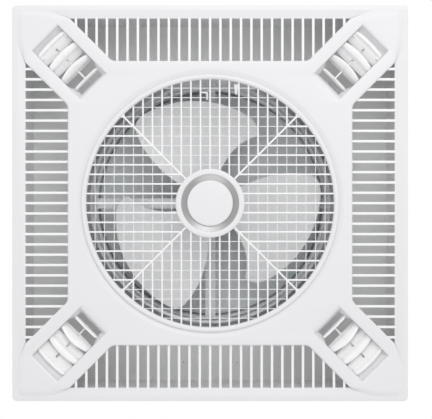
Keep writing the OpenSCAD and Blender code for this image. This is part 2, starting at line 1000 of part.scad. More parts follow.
module motor_front_shell() {
    color([0.35, 0.36, 0.38])
        difference() {
            translate([0, 0, motor_z])
                cylinder(r = motor_r, h = shell_split - motor_z);
            difference() {
                translate([0, 0, motor_z + plate_t])
                    cylinder(r = stator_r, h = motor_h);
                translate([0, 0, motor_z])
                    cylinder(r = bearing_r + seat_wall, h = front_seat_z + bearing_h - motor_z);
            }
            translate([0, 0, front_seat_z])
                cylinder(r = bearing_r, h = motor_h);
            translate([0, 0, motor_z - over])
                cylinder(r = shaft_r + 1.5, h = motor_h);
            translate([0, 0, motor_z - over])
                ring_places(motor_screw_r, 4, 45)
                    cylinder(r = screw_r, h = plate_t + over);
            translate([0, motor_r - 2 * shell_t, lead_z])
                rotate([-90, 0, 0])
                    cylinder(r = lead_r, h = 4 * shell_t, $fn = 32);
        }
}

module motor_rear_shell() {
    color([0.35, 0.36, 0.38])
        difference() {
            union() {
                translate([0, 0, shell_split])
                    cylinder(r = motor_r, h = motor_top - shell_split - 3);
                translate([0, 0, motor_top - 3 - eps])
                    cylinder(r1 = motor_r, r2 = motor_r - 3, h = 3 + eps);
            }
            difference() {
                translate([0, 0, shell_split - over])
                    cylinder(r = stator_r, h = motor_top - shell_split - plate_t + over);
                translate([0, 0, rear_seat_z])
                    cylinder(r = bearing_r + seat_wall, h = motor_h);
            }
            translate([0, 0, rear_seat_z - over])
                cylinder(r = bearing_r, h = bearing_h + over);
        }
}

module stator_core() {
    slots = 24;
    color([0.45, 0.46, 0.48])
        translate([0, 0, stator_z])
            difference() {
                tube(stator_r, stator_bore_r, stator_h);
                for (k = [0:slots - 1])
                    rotate([0, 0, 360 / slots * k])
                        translate([stator_bore_r + 3, -1.5, -over])
                            cube([11, 3, stator_h + 2 * over]);
            }
}

module windings() {
    end_h = 4;
    color([0.72, 0.42, 0.2])
        for (z = [stator_z - end_h, stator_z + stator_h])
            translate([0, 0, z])
                tube(stator_r - 5, stator_bore_r + 3, end_h);
}

module rotor_core() {
    color([0.5, 0.51, 0.53])
        translate([0, 0, stator_z])
            tube(rotor_r, shaft_r, stator_h);
}

module motor_shaft() {
    color([0.75, 0.76, 0.78])
        difference() {
            translate([0, 0, shaft_z])
                cylinder(r = shaft_r, h = rear_seat_z + bearing_h - shaft_z - 0.5);
            translate([0, 0, cross_z])
                rotate([0, 90, 0])
                    cylinder(r = cross_pin_r, h = 4 * shaft_r, center = true, $fn = 32);
        }
}

module bearing(z) {
    color([0.7, 0.71, 0.73])
        translate([0, 0, z])
            tube(bearing_r, shaft_r + 0.03, bearing_h);
}

// share u of the way from root to tip, along v from the leading edge -1 to the trailing edge 1
function blade_edge(v) =
    blade_r - tip_slope * (v + lead_share) / (1 + lead_share) - tip_round * pow(abs(v), 12);
function blade_point(u, v, side) =
    let (
        r = blade_in + (blade_edge(v) - blade_in) * u,
        half_arc = (blade_arc + blade_spread * u * u) / 2,
        q = blade_sweep * u * u + half_arc * v,
        pitch = pitch_root - pitch_loss * (1 - pow(1 - u, 2)),
        half = edge_t + (blade_t / 2 - edge_t) * (1 - v * v),
        rise = blade_camber * (1 - v * v) + side * half
    )
    [r * cos(q), r * sin(q), r * half_arc * PI / 180 * v * tan(pitch) + rise];

module blade_body() {
    rows = 10;
    cols = 14;
    ring = 2 * cols + 2;
    points = [
        for (i = [0:rows])
            let (u = sin(90 * i / rows))
                each concat(
                    [for (j = [0:cols]) blade_point(u, sin(180 * j / cols - 90), 1)],
                    [for (j = [cols:-1:0]) blade_point(u, sin(180 * j / cols - 90), -1)]
                )
    ];
    side_a = [for (i = [0:rows - 1], j = [0:ring - 1])
        [i * ring + j, i * ring + (j + 1) % ring, (i + 1) * ring + j]];
    side_b = [for (i = [0:rows - 1], j = [0:ring - 1])
        [(i + 1) * ring + j, i * ring + (j + 1) % ring, (i + 1) * ring + (j + 1) % ring]];
    cap = [for (j = [0:cols - 1])
        each [[j, ring - 2 - j, j + 1], [j, ring - 1 - j, ring - 2 - j]]];
    tip = rows * ring;
    end = [for (f = cap) [tip + f[0], tip + f[2], tip + f[1]]];
    polyhedron(points = points, faces = concat(side_a, side_b, cap, end));
}

module fan_blade() {
    color([0.9, 0.91, 0.92])
        difference() {
            union() {
                translate([0, 0, hub_z])
                    cylinder(r = fan_hub_r, h = fan_hub_h);
                for (k = [0:blade_count - 1])
                    rotate([0, 0, blade_start + 360 / blade_count * k])
                        translate([0, 0, blade_z])
                            blade_body();
            }
            translate([0, 0, hub_z - over])
                cylinder(r = shaft_r, h = fan_hub_h + 2 * over);
            translate([-cross_len / 2, -cross_pin_r, cross_z - cross_pin_r])
                cube([cross_len, 2 * cross_pin_r, fan_hub_h]);
        }
}

module blade_pin() {
    color([0.75, 0.76, 0.78])
        translate([0, 0, cross_z])
            rotate([0, 90, 0])
                cylinder(r = cross_pin_r, h = cross_len, center = true, $fn = 32);
}

module spinner_nut() {
    color([0.3, 0.31, 0.33])
        difference() {
            union() {
                translate([0, 0, nut_z + 3])
                    cylinder(r = nut_r, h = hub_z - nut_z - 3);
                translate([0, 0, nut_z])
                    cylinder(r1 = nut_r - 5, r2 = nut_r, h = 3 + eps);
            }
            translate([0, 0, shaft_z])
                cylinder(r = shaft_r, h = fan_hub_h);
        }
}

module damper_rod() {
    color([0.75, 0.76, 0.78])
        translate([0, 0, rod_z])
            rotate([0, 90, 0])
                cylinder(r = rod_r, h = spigot_in_r + spigot_r, center = true, $fn = 32);
}

// half disc that lies on one side of the rod, with its own share of the knuckles
module damper_flap(side) {
    count = 7;
    pitch = 2 * (flap_r - ledge_w - knuckle_r) / count;
    start = side > 0 ? 0 : 1;
    color(steel)
        rotate([0, 0, side > 0 ? 0 : 180])
            translate([0, 0, rod_z]) {
                intersection() {
                    translate([0, 0, -flap_t / 2])
                        cylinder(r = flap_r, h = flap_t, $fn = 128);
                    translate([-flap_r, knuckle_r + knuckle_gap, -flap_t])
                        cube([2 * flap_r, flap_r, 2 * flap_t]);
                }
                for (k = [start:2:count - 1])
                    translate([(k - count / 2) * pitch + knuckle_gap, 0, 0])
                        difference() {
                            union() {
                                rotate([0, 90, 0])
                                    cylinder(r = knuckle_r, h = pitch - 2 * knuckle_gap, $fn = 32);
                                translate([0, 0, -flap_t / 2])
                                    cube([pitch - 2 * knuckle_gap, knuckle_r + over, flap_t]);
                            }
                            translate([-over, 0, 0])
                                rotate([0, 90, 0])
                                    cylinder(r = rod_r + run_gap, h = pitch + 2 * over, $fn = 32);
                        }
            }
}

module control_post_places() {
    for (s = [-1, 1], y = [control_y + post_inset, control_y + control_d - post_inset])
        translate([s * (control_w / 2 - post_inset), y, 0])
            children();
}

module control_box() {
    color(steel)
        difference() {
            union() {
                difference() {
                    translate([-control_w / 2, control_y, box_top])
                        cube([control_w, control_d, control_h]);
                    translate([sheet_t - control_w / 2, control_y + sheet_t, box_top + sheet_t])
                        cube([control_w - 2 * sheet_t, control_d - 2 * sheet_t, control_h]);
                }
                translate([0, 0, box_top])
                    control_post_places()
                        cylinder(r = post_r, h = control_h);
            }
            translate([0, 0, control_top - post_drill])
                control_post_places()
                    cylinder(r = screw_r, h = 2 * post_drill);
            translate([0, 0, box_top - over])
                control_foot_places()
                    cylinder(r = screw_r, h = sheet_t + 2 * over);
            translate([0, control_y - over, lead_z])
                rotate([-90, 0, 0])
                    cylinder(r = lead_r + 2, h = sheet_t + 2 * over, $fn = 32);
            translate([control_w / 2 - 2 * sheet_t, gland_y, gland_z])
                rotate([0, 90, 0])
                    cylinder(r = gland_thread_r, h = 4 * sheet_t);
        }
}

module control_lid() {
    w = control_w + 2 * sheet_t + 0.4;
    d = control_d + 2 * sheet_t + 0.4;
    color(steel)
        difference() {
            translate([-w / 2, control_mid - d / 2, control_top - lid_lip])
                cube([w, d, lid_lip + sheet_t]);
            translate([sheet_t - w / 2, control_mid - d / 2 + sheet_t, control_top - lid_lip - over])
                cube([w - 2 * sheet_t, d - 2 * sheet_t, lid_lip + over]);
            translate([0, 0, control_top - over])
                control_post_places()
                    cylinder(r = screw_r, h = 4 * sheet_t);
        }
}

module capacitor() {
    color([0.88, 0.88, 0.86])
        translate([capacitor_inset - control_w / 2, control_y + 14, box_top + sheet_t])
            cube(capacitor_size);
}

module terminal_block() {
    ways = 3;
    color([0.9, 0.9, 0.85])
        translate([-ways * terminal_pitch / 2, control_y + 22, box_top + sheet_t])
            difference() {
                cube([ways * terminal_pitch, terminal_d, terminal_h]);
                for (k = [0:ways - 1], y = [terminal_d / 3, terminal_d * 2 / 3])
                    translate([(k + 0.5) * terminal_pitch, y, terminal_h - 4])
                        cylinder(r = terminal_hole_r, h = terminal_h, $fn = 24);
            }
}

module cable_gland() {
    nut = gland_nut;
    body = gland_body;
    color([0.2, 0.2, 0.21])
        translate([control_w / 2 - sheet_t - nut, gland_y, gland_z])
            rotate([0, 90, 0])
                difference() {
                    union() {
                        cylinder(r = gland_thread_r, h = nut + sheet_t + body);
                        cylinder(r = gland_thread_r + 4, h = nut, $fn = 6);
                        translate([0, 0, nut + sheet_t])
                            cylinder(r = gland_thread_r + 4, h = nut, $fn = 6);
                        translate([0, 0, nut + sheet_t + nut])
                            cylinder(r1 = gland_thread_r + 3, r2 = gland_thread_r + 1, h = body - nut);
                    }
                    translate([0, 0, -over])
                        cylinder(r = gland_bore_r, h = nut + sheet_t + body + 2 * over, $fn = 32);
                }
}

module grommet() {
    h = 2 * grommet_lip + sheet_t;
    rotate([-90, 0, 0])
        translate([0, 0, -grommet_lip])
            difference() {
                union() {
                    cylinder(r = lead_r + 2, h = h, $fn = 32);
                    for (z = [0, h - grommet_lip])
                        translate([0, 0, z])
                            cylinder(r = lead_r + 2 + grommet_lip, h = grommet_lip, $fn = 32);
                }
                translate([0, 0, -over])
                    cylinder(r = lead_r, h = h + 2 * over, $fn = 32);
            }
}

module lead_grommets() {
    color([0.15, 0.15, 0.16]) {
        translate([0, control_y, lead_z])
            grommet();
        difference() {
            translate([0, duct_in_r, lead_z])
                grommet();
            difference() {
                tube(barrel_r, duct_in_r, box_top * 2, $fn = 128);
                translate([0, duct_in_r, lead_z])
                    rotate([90, 0, 0])
                        cylinder(r = lead_r + 2, h = 8 * sheet_t, center = true, $fn = 32);
            }
        }
    }
}

module lead_clips() {
    color([0.2, 0.2, 0.21])
        for (y = [motor_r + clip_gap, duct_in_r - clip_gap - clip_len])
            translate([0, y, motor_z])
                difference() {
                    translate([-clip_w / 2, 0, 0])
                        cube([clip_w, clip_len, lead_z - motor_z + lead_r + 2]);
                    translate([0, -over, lead_z - motor_z])
                        rotate([-90, 0, 0])
                            cylinder(r = lead_r, h = clip_len + 2 * over, $fn = 32);
                }
}

module motor_lead() {
    color([0.12, 0.12, 0.13]) {
        translate([0, motor_r - shell_t - 4, lead_z])
            rotate([-90, 0, 0])
                cylinder(r = lead_r, h = control_y + 10 - motor_r + shell_t + 4, $fn = 32);
        for (x = [-1.6, 0, 1.6])
            translate([x, control_y + 9, lead_z])
                rotate([-90, 0, 0])
                    cylinder(r = core_r, h = core_len, $fn = 16);
    }
}

front_panel();
centre_grille();
hub_ring();
hub_cap();
louver_frame(1);  // louver_frame_1
louver_frame(2);  // louver_frame_2
louver_frame(3);  // louver_frame_3
louver_frame(4);  // louver_frame_4
vane(1, 0);  // vane_1a
vane(1, 1);  // vane_1b
vane(1, 2);  // vane_1c
vane(1, 3);  // vane_1d
vane(2, 0);  // vane_2a
vane(2, 1);  // vane_2b
vane(2, 2);  // vane_2c
vane(2, 3);  // vane_2d
vane(3, 0);  // vane_3a
vane(3, 1);  // vane_3b
vane(3, 2);  // vane_3c
vane(3, 3);  // vane_3d
vane(4, 0);  // vane_4a
vane(4, 1);  // vane_4b
vane(4, 2);  // vane_4c
vane(4, 3);  // vane_4d
link_bar(1);  // link_bar_1
link_bar(2);  // link_bar_2
link_bar(3);  // link_bar_3
link_bar(4);  // link_bar_4
back_box();
box_gasket();
fan_duct();
duct_flange();
duct_screws();
panel_screws();
hanger_brackets();
roof_screws();
motor_mount();
motor_screws();
motor_front_shell();
motor_rear_shell();
stator_core();
windings();
rotor_core();
motor_shaft();
bearing(front_seat_z);  // front_bearing
bearing(rear_seat_z);  // rear_bearing
fan_blade();
blade_pin();
spinner_nut();
damper_rod();
damper_flap(1);  // damper_flap_1
damper_flap(-1);  // damper_flap_2
control_box();
control_lid();
capacitor();
terminal_block();
cable_gland();
lead_grommets();
lead_clips();
motor_lead();
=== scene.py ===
"""Looks of a square ceiling exhaust fan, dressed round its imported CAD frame.

Lengths in the code are millimetres in the CAD frame: X right and Y down as seen from the
room below, Z up into the ceiling. Meshes are written in metres.
"""

import logging
import math
from dataclasses import dataclass
from enum import Enum

import bmesh
import bpy
from mathutils import Matrix, Vector
from mathutils.geometry import tessellate_polygon


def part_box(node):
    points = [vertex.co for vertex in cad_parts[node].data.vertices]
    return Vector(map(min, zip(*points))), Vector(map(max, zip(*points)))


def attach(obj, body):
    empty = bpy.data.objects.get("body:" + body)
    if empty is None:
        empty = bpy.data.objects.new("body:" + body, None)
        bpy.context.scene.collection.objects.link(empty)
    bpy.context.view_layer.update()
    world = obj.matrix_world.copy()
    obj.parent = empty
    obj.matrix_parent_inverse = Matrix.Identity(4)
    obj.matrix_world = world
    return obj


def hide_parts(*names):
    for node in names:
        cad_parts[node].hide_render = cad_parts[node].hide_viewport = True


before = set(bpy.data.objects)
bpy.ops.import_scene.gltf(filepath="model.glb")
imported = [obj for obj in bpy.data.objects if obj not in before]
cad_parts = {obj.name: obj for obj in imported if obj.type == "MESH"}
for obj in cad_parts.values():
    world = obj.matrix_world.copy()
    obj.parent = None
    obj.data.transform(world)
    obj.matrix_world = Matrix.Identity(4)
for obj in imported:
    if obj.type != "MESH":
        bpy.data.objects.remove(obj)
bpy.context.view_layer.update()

LOG = logging.getLogger("ceiling_fan")
MM = 0.001
Flat = list[tuple[float, float]]
Ring = tuple[Flat, float | list[float]]
Triple = tuple[float, float, float]
Socket = bpy.types.NodeSocket

# Directions of corner louvers 1 to 4 from the middle of the panel.
CORNER_DEG = (225.0, 315.0, 45.0, 135.0)
# Points closer than this are one, in a mesh made here and in a CAD mesh, in metres.
MERGE, CAD_MERGE = 1e-6, 2e-6
# Largest angles that are shaded smooth, in a mesh made here and in a CAD mesh.
SMOOTH_DEG, CAD_SMOOTH_DEG = 35.0, 40.0
# CAD faces that differ by less than this angle are one flat face.
FLAT_DEG = 0.5
# A profile point with a smaller radius is a pole.
POLE_R = 1e-6
# Least divisor where a loop is moved outwards round a sharp corner.
MITRE_LIMIT = 0.3


class Graph:
    """A node tree in the making."""

    def __init__(self, tree: bpy.types.NodeTree) -> None:
        """Take up a tree."""
        self.tree = tree

    def feed(self, node: bpy.types.Node, label: str | int, value: object) -> None:
        """Link a socket to a node's input, or set the input's own value.

        Args:
            node: The node.
            label: Name or number of the input.
            value: A socket or a value.
        """
        if isinstance(value, Socket):
            self.tree.links.new(value, node.inputs[label])
        else:
            node.inputs[label].default_value = value

    def put(
        self, kind: str, inputs: dict[str | int, object] | None = None, **settings: object
    ) -> bpy.types.Node:
        """Add a node.

        Args:
            kind: The node's type.
            inputs: Sockets or values by input name or number.
            settings: Properties of the node.

        Returns:
            The node.
        """
        node = self.tree.nodes.new(kind)
        for key, value in settings.items():
            setattr(node, key, value)
        for label, value in (inputs or {}).items():
            self.feed(node, label, value)
        return node

    def math(self, operation: str, *values: object) -> Socket:
        """Add a Math node with these sockets or numbers, and give its result."""
        return self.put("ShaderNodeMath", dict(enumerate(values)), operation=operation).outputs[0]

    def plus(self, a: object, b: object) -> Socket:
        """Give the sum of two sockets or numbers."""
        return self.math("ADD", a, b)

    def minus(self, a: object, b: object) -> Socket:
        """Give the difference of two sockets or numbers."""
        return self.math("SUBTRACT", a, b)

    def times(self, a: object, b: object) -> Socket:
        """Give the product of two sockets or numbers."""
        return self.math("MULTIPLY", a, b)

    def split(self, vector: Socket) -> tuple[Socket, ...]:
        """Give the x, y and z of a vector."""
        return tuple(self.put("ShaderNodeSeparateXYZ", {0: vector}).outputs)


class Shade(Graph):
    """The nodes of a material round its one surface shader."""

    def __init__(self, material: bpy.types.Material) -> None:
        """Take up a material that has its first nodes.

        Args:
            material: The material.
        """
        super().__init__(material.node_tree)
        self.shader = self.tree.nodes["Principled BSDF"]
        self.place = self.put("ShaderNodeTexCoord").outputs["Object"]

    def surface(self, label: str, value: object) -> None:
        """Give the surface shader a value or a socket."""
        self.feed(self.shader, label, value)

    def noise(self, source: Socket, scale: float, detail: float) -> Socket:
        """Give a noise at these coordinates, with its scale per metre and its octaves."""
        inputs = {"Scale": scale, "Detail": detail, "Vector": source}
        return self.put("ShaderNodeTexNoise", inputs).outputs["Fac"]

    def blend(self, factor: Socket, a: object, b: object) -> Socket:
        """Mix two colours, where a factor of 0 gives the first and 1 the second."""
        inputs = {"Factor": factor, "A": a, "B": b}
        return self.put("ShaderNodeMix", inputs, data_type="RGBA").outputs["Result"]

    def cover(self, factor: Socket, colour: tuple[float, ...]) -> None:
        """Lay a colour over the base colour so far, where the factor is 1."""
        under = self.shader.inputs["Base Color"].links[0].from_socket
        self.surface("Base Color", self.blend(factor, under, colour))


class Grain(Enum):
    """Kinds of fine surface structure."""

    PLAIN = "plain"
    SPANGLED = "spangled"
    BRUSHED = "brushed"
    # Spun metal also gets a painted highlight, a lighter colour where its radius runs near ±Y.
    SPUN = "spun"


class Outline(Enum):
    """Outlines of a space inside the sheet work."""

    SQUARE = "square"
    ROUND = "round"


@dataclass(frozen=True)
class Zone:
    """A space inside the sheet work, in metres, and the paint on the walls round it."""

    outline: Outline
    reach: float
    low: float
    high: float
    paint: Triple

    def inside(self, shade: Shade) -> Socket:
        """Tell the inside of this space from its outside.

        Args:
            shade: The material's nodes.

        Returns:
            A socket that is 1 inside and 0 outside.
        """
        x, y, z = shade.split(shade.place)
        if self.outline is Outline.SQUARE:
            reach = shade.math("MAXIMUM", shade.math("ABSOLUTE", x), shade.math("ABSOLUTE", y))
        else:
            reach = shade.math("SQRT", shade.plus(shade.times(x, x), shade.times(y, y)))
        near = shade.math("LESS_THAN", reach, self.reach)
        above = shade.math("GREATER_THAN", z, self.low)
        below = shade.math("LESS_THAN", z, self.high)
        return shade.times(near, shade.times(above, below))


@dataclass(frozen=True)
class Texture:
    """What all finishes share: lengths in metres, noise as its scale per metre and its octaves."""

    coat_roughness: float = 0.18
    glow_radius: float = 0.012
    glow_scale: float = 0.3
    brush_squeeze: float = 0.04
    spangle_cells: float = 120.0
    clouds: tuple[float, float] = (14.0, 4.0)
    patches: tuple[float, float] = (35.0, 6.0)
    patch_swing: float = 0.06
    least_roughness: float = 0.05
    fine_octaves: float = 3.0
    relief_depth: float = 0.0004
    spun_stretch: float = 0.85
    # Share of the radius along Y from which a spun ring's colour is lightened, a painted highlight.
    painted_highlight_from: float = 0.72


TEXTURE = Texture()


@dataclass(frozen=True)
class Finish:
    """One surface finish, with the texture that a close look shows."""

    name: str
    colour: Triple
    roughness: float
    grain: Grain = Grain.PLAIN
    metallic: float = 0.0
    coat: float = 0.0
    mottle: float = 0.02
    relief: float = 0.04
    scale: float = 900.0
    through: float = 0.0
    # How much lighter a spun ring's colour is painted at its top and bottom, a painted highlight.
    painted_highlight: float = 0.0
    lined: tuple[Zone, ...] = ()
    slot: str = ""

    def tone(self, share: float) -> tuple[float, ...]:
        """Give the colour, lighter by a share of itself, with its alpha."""
        return (*[min(1.0, c * (1 + share)) for c in self.colour], 1.0)

    def material(self) -> bpy.types.Material:
        """Build the material on first use, and give the same one afterwards.

        Returns:
            The node-based material of this finish.
        """
        found = bpy.data.materials.get(self.name)
        if found is not None and found.get("own_finish"):
            return found
        made = bpy.data.materials.new(self.name)
        made["own_finish"] = True
        made.use_nodes = True
        shade = Shade(made)
        shade.surface("Metallic", self.metallic)
        shade.surface("Coat Weight", self.coat)
        shade.surface("Coat Roughness", TEXTURE.coat_roughness)
        if self.through:
            shade.surface("Subsurface Weight", self.through)
            shade.surface("Subsurface Radius", (TEXTURE.glow_radius,) * 3)
            shade.surface("Subsurface Scale", TEXTURE.glow_scale)
        squeeze = TEXTURE.brush_squeeze if self.grain is Grain.BRUSHED else 1.0
        mapping = {"Vector": shade.place, "Scale": (1.0, 1.0, squeeze)}
        turn = shade.put("ShaderNodeMapping", mapping).outputs["Vector"]
        self._dye(shade, turn)
        self._polish(shade, turn)
        self._emboss(shade, turn)
        if self.grain is Grain.SPUN:
            self._spin_and_paint_highlight(shade)
        if self.lined:
            self._line(shade)
        return made

    def _line(self, shade: Shade) -> None:
        """Cover the inside of the sheet work with its paint.

        Args:
            shade: The material's nodes.
        """
        metal = self.metallic
        for zone in self.lined:
            inside = zone.inside(shade)
            shade.cover(inside, (*zone.paint, 1.0))
            metal = shade.times(shade.minus(1.0, inside), metal)
        shade.surface("Metallic", metal)

    def _dye(self, shade: Shade, turn: Socket) -> None:
        """Vary the colour a little, in cells on galvanised sheet and in clouds elsewhere.

        Args:
            shade: The material's nodes.
            turn: The coordinates.
        """
        if self.grain is Grain.SPANGLED:
            inputs = {"Scale": TEXTURE.spangle_cells, "Vector": turn}
            cells = shade.put("ShaderNodeTexVoronoi", inputs).outputs["Color"]
            factor = shade.put("ShaderNodeSeparateColor", {"Color": cells}).outputs["Red"]
        else:
            factor = shade.noise(turn, *TEXTURE.clouds)
        colour = shade.blend(factor, self.tone(-self.mottle), self.tone(self.mottle))
        shade.surface("Base Color", colour)

    def _polish(self, shade: Shade, turn: Socket) -> None:
        """Vary the roughness in soft patches, as handling and dust do.

        Args:
            shade: The material's nodes.
            turn: The coordinates.
        """
        inputs = {
            "Value": shade.noise(turn, *TEXTURE.patches),
            "To Min": max(TEXTURE.least_roughness, self.roughness - TEXTURE.patch_swing),
            "To Max": min(1.0, self.roughness + TEXTURE.patch_swing),
        }
        shade.surface("Roughness", shade.put("ShaderNodeMapRange", inputs).outputs["Result"])

    def _spin_and_paint_highlight(self, shade: Shade) -> None:
        """Draw the reflections out across the lathe marks that run round Z, and lighten the colour where the
        radius runs near ±Y as a painted highlight at the ring's top and bottom.

        Args:
            shade: The material's nodes.
        """
        shade.surface("Anisotropic", TEXTURE.spun_stretch)
        outward = shade.put(
            "ShaderNodeVectorMath", {0: shade.place, 1: (1.0, 1.0, 0.0)}, operation="MULTIPLY"
        ).outputs["Vector"]
        unit = shade.put("ShaderNodeVectorMath", {0: outward}, operation="NORMALIZE").outputs["Vector"]
        shade.surface("Tangent", unit)
        # Painted highlight: the colour is laid lighter where the radius points near ±Y, the ring's top and
        # bottom.
        _, y, _ = shade.split(unit)
        inputs = {"Value": shade.math("ABSOLUTE", y), "From Min": TEXTURE.painted_highlight_from}
        highlight_mask = shade.put("ShaderNodeMapRange", inputs, interpolation_type="SMOOTHSTEP")
        shade.cover(highlight_mask.outputs["Result"], self.tone(self.painted_highlight))

    def _emboss(self, shade: Shade, turn: Socket) -> None:
        """Give the surface its fine relief.

        Args:
            shade: The material's nodes.
            turn: The coordinates.
        """
        inputs = {
            "Strength": self.relief,
            "Distance": TEXTURE.relief_depth,
            "Height": shade.noise(turn, self.scale, TEXTURE.fine_octaves),
        }
        shade.surface("Normal", shade.put("ShaderNodeBump", inputs).outputs["Normal"])


class Palette(Enum):
    """The finishes of this fan."""

    PANEL = Finish("panel_white", (0.83, 0.83, 0.85), 0.42, mottle=0.012)
    GRILLE = Finish("grille_white", (0.83, 0.83, 0.85), 0.40, mottle=0.012)
    MESH = Finish("mesh_white", (0.94, 0.94, 0.95), 0.36, mottle=0.012, slot="grille_white")
    BARS = Finish("bar_white", (0.93, 0.93, 0.94), 0.38, mottle=0.012, slot="panel_white")
    VANE = Finish("vane_white", (0.97, 0.97, 0.978), 0.30, coat=0.25, mottle=0.01, through=0.15)
    LINK = Finish("link_grey", (0.94, 0.94, 0.95), 0.5, mottle=0.02)
    # The spun silver ring has a painted highlight, its colour lighter at the top and bottom.
    SILVER = Finish(
        "hub_silver", (0.49, 0.49, 0.495), 0.45, Grain.SPUN,
        metallic=0.9, mottle=0.02, relief=0.02, painted_highlight=0.3,
    )
    BLADE = Finish("blade_pale", (0.95, 0.955, 0.965), 0.34, coat=0.2, mottle=0.04, through=0.3)
    ZINC = Finish("screw_zinc", (0.55, 0.56, 0.58), 0.32, Grain.BRUSHED, metallic=1.0, scale=2600.0)
    SHEET = Finish(
        "galvanised_sheet", (0.50, 0.51, 0.52), 0.45, Grain.SPANGLED,
        metallic=0.8, mottle=0.13, relief=0.05, scale=260.0,
        lined=(Zone(Outline.SQUARE, 0.2804, 0.0, 0.1094, (0.90, 0.905, 0.905)),),
    )
    DUCT = Finish(
        "duct_sheet", (0.48, 0.49, 0.50), 0.42, Grain.SPANGLED,
        metallic=0.8, mottle=0.13, relief=0.05, scale=260.0,
        lined=(
            Zone(Outline.ROUND, 0.1786, 0.0, 0.1106, (0.88, 0.90, 0.915)),
            Zone(Outline.ROUND, 0.1760, 0.1105, 0.1626, (0.95, 0.985, 1.0)),
        ),
        slot="galvanised_sheet",
    )
    MOTOR = Finish(
        "motor_paint", (0.075, 0.08, 0.088), 0.44, coat=0.15, mottle=0.06, relief=0.12, scale=1400.0
    )
    CORE = Finish("core_steel", (0.16, 0.165, 0.17), 0.5, Grain.BRUSHED, metallic=0.9, mottle=0.08)
    COPPER = Finish(
        "winding_copper", (0.45, 0.17, 0.06), 0.3, Grain.BRUSHED, metallic=0.8, mottle=0.12
    )
    BRIGHT = Finish("bright_steel", (0.58, 0.59, 0.61), 0.2, Grain.BRUSHED, metallic=1.0, scale=3000.0)
    BLACK = Finish("black_plastic", (0.022, 0.022, 0.025), 0.45, mottle=0.08, relief=0.1)
    FOAM = Finish("gasket_foam", (0.03, 0.03, 0.033), 0.95, mottle=0.2, relief=0.6)
    RUBBER = Finish("black_rubber", (0.018, 0.018, 0.02), 0.6, mottle=0.1, relief=0.15)
    CASE = Finish("capacitor_case", (0.62, 0.62, 0.56), 0.4, mottle=0.03)
    TERMINAL = Finish("terminal_white", (0.70, 0.70, 0.62), 0.45, mottle=0.03)
    FLOOR = Finish("floor_pale", (0.80, 0.80, 0.80), 0.7, mottle=0.01)

    @property
    def material(self) -> bpy.types.Material:
        """The material of this finish."""
        return self.value.material()

    @property
    def slot(self) -> str:
        """The record's material slot of this finish, which is its name unless it says another."""
        return self.value.slot or self.value.name


def turned(p: tuple[float, float], degrees: float) -> tuple[float, float]:
    """Turn a flat point about the origin, from X towards Y."""
    c, s = math.cos(math.radians(degrees)), math.sin(math.radians(degrees))
    return p[0] * c - p[1] * s, p[0] * s + p[1] * c


def rounded_loop(corners: list[Triple], steps: int = 6) -> Flat:
    """Round each corner of a counter-clockwise polygon by its own radius.

    Args:
        corners: Corners as x, y and radius.
        steps: Segments in each arc.

    Returns:
        The rounded loop.
    """
    loop: Flat = []
    count = len(corners)
    for i, (x, y, r) in enumerate(corners):
        p = Vector((x, y))
        d = (p - Vector(corners[i - 1][:2])).normalized()
        e = (Vector(corners[(i + 1) % count][:2]) - p).normalized()
        bend = math.atan2(d.x * e.y - d.y * e.x, d.dot(e))
        start = p - d * r * math.tan(abs(bend) / 2)
        centre = start + math.copysign(r, bend) * Vector((-d.y, d.x))
        for j in range(steps + 1):
            q = turned(tuple(start - centre), math.degrees(bend) * j / steps)
            loop.append((centre.x + q[0], centre.y + q[1]))
    return loop


def quarter_copies(corners: list[Triple]) -> list[Triple]:
    """Repeat the corners of one quarter, as x, y and radius, in all four quarters."""
    return [(*turned((x, y), 90 * k), r) for k in range(4) for x, y, r in corners]


def grown(loop: Flat, t: float) -> Flat:
    """Move a counter-clockwise loop outwards by t, or inwards where t is negative.

    Args:
        loop: The loop.
        t: The distance.

    Returns:
        The moved loop, point for point.
    """
    out: Flat = []
    count = len(loop)
    for i in range(count):
        a, p, b = (Vector(loop[(i + k) % count]) for k in (-1, 0, 1))
        d, e = (p - a).normalized(), (b - p).normalized()
        m, n = Vector((d.y, -d.x)), Vector((e.y, -e.x))
        v = p + t * (m + n) / max(MITRE_LIMIT, 1 + m.dot(n))
        out.append((v.x, v.y))
    return out


def shifted(loop: Flat, x: float, y: float) -> Flat:
    """Move a loop."""
    return [(px + x, py + y) for px, py in loop]


def circle(radius: float, count: int = 128) -> Flat:
    """Give a counter-clockwise circle about the origin."""
    return [turned((radius, 0.0), 360 * i / count) for i in range(count)]


def box_loop(x0: float, y0: float, x1: float, y1: float, r: float, steps: int = 4) -> Flat:
    """Give a rectangle from its low corner to its high corner, rounded by a radius."""
    return rounded_loop([(x0, y0, r), (x1, y0, r), (x1, y1, r), (x0, y1, r)], steps)


def clamped(share: float) -> float:
    """Keep a share between 0 and 1."""
    return min(1.0, max(0.0, share))


def eased(share: float) -> float:
    """Let a share from 0 to 1 start and end softly."""
    return share * share * (3 - 2 * share)


def lifted(ring: Ring) -> list[Vector]:
    """Put a flat loop at its height, or each of its points at a height of its own.

    Args:
        ring: The loop, and its height or heights.

    Returns:
        The points.
    """
    loop, level = ring
    levels = level if isinstance(level, list) else [level] * len(loop)
    return [Vector((x, y, z)) for (x, y), z in zip(loop, levels)]


def smoothed(mesh: bpy.types.Mesh, degrees: float = SMOOTH_DEG) -> None:
    """Shade a mesh smooth where its faces meet at less than an angle."""
    mesh.shade_smooth()
    mesh.set_sharp_from_angle(angle=math.radians(degrees))


def shown(name: str, data: bpy.types.ID) -> bpy.types.Object:
    """Put a mesh, a light or a camera in the scene.

    Args:
        name: The object's name.
        data: The mesh, light or camera.

    Returns:
        The object, at the origin.
    """
    thing = bpy.data.objects.new(name, data)
    bpy.context.scene.collection.objects.link(thing)
    return thing


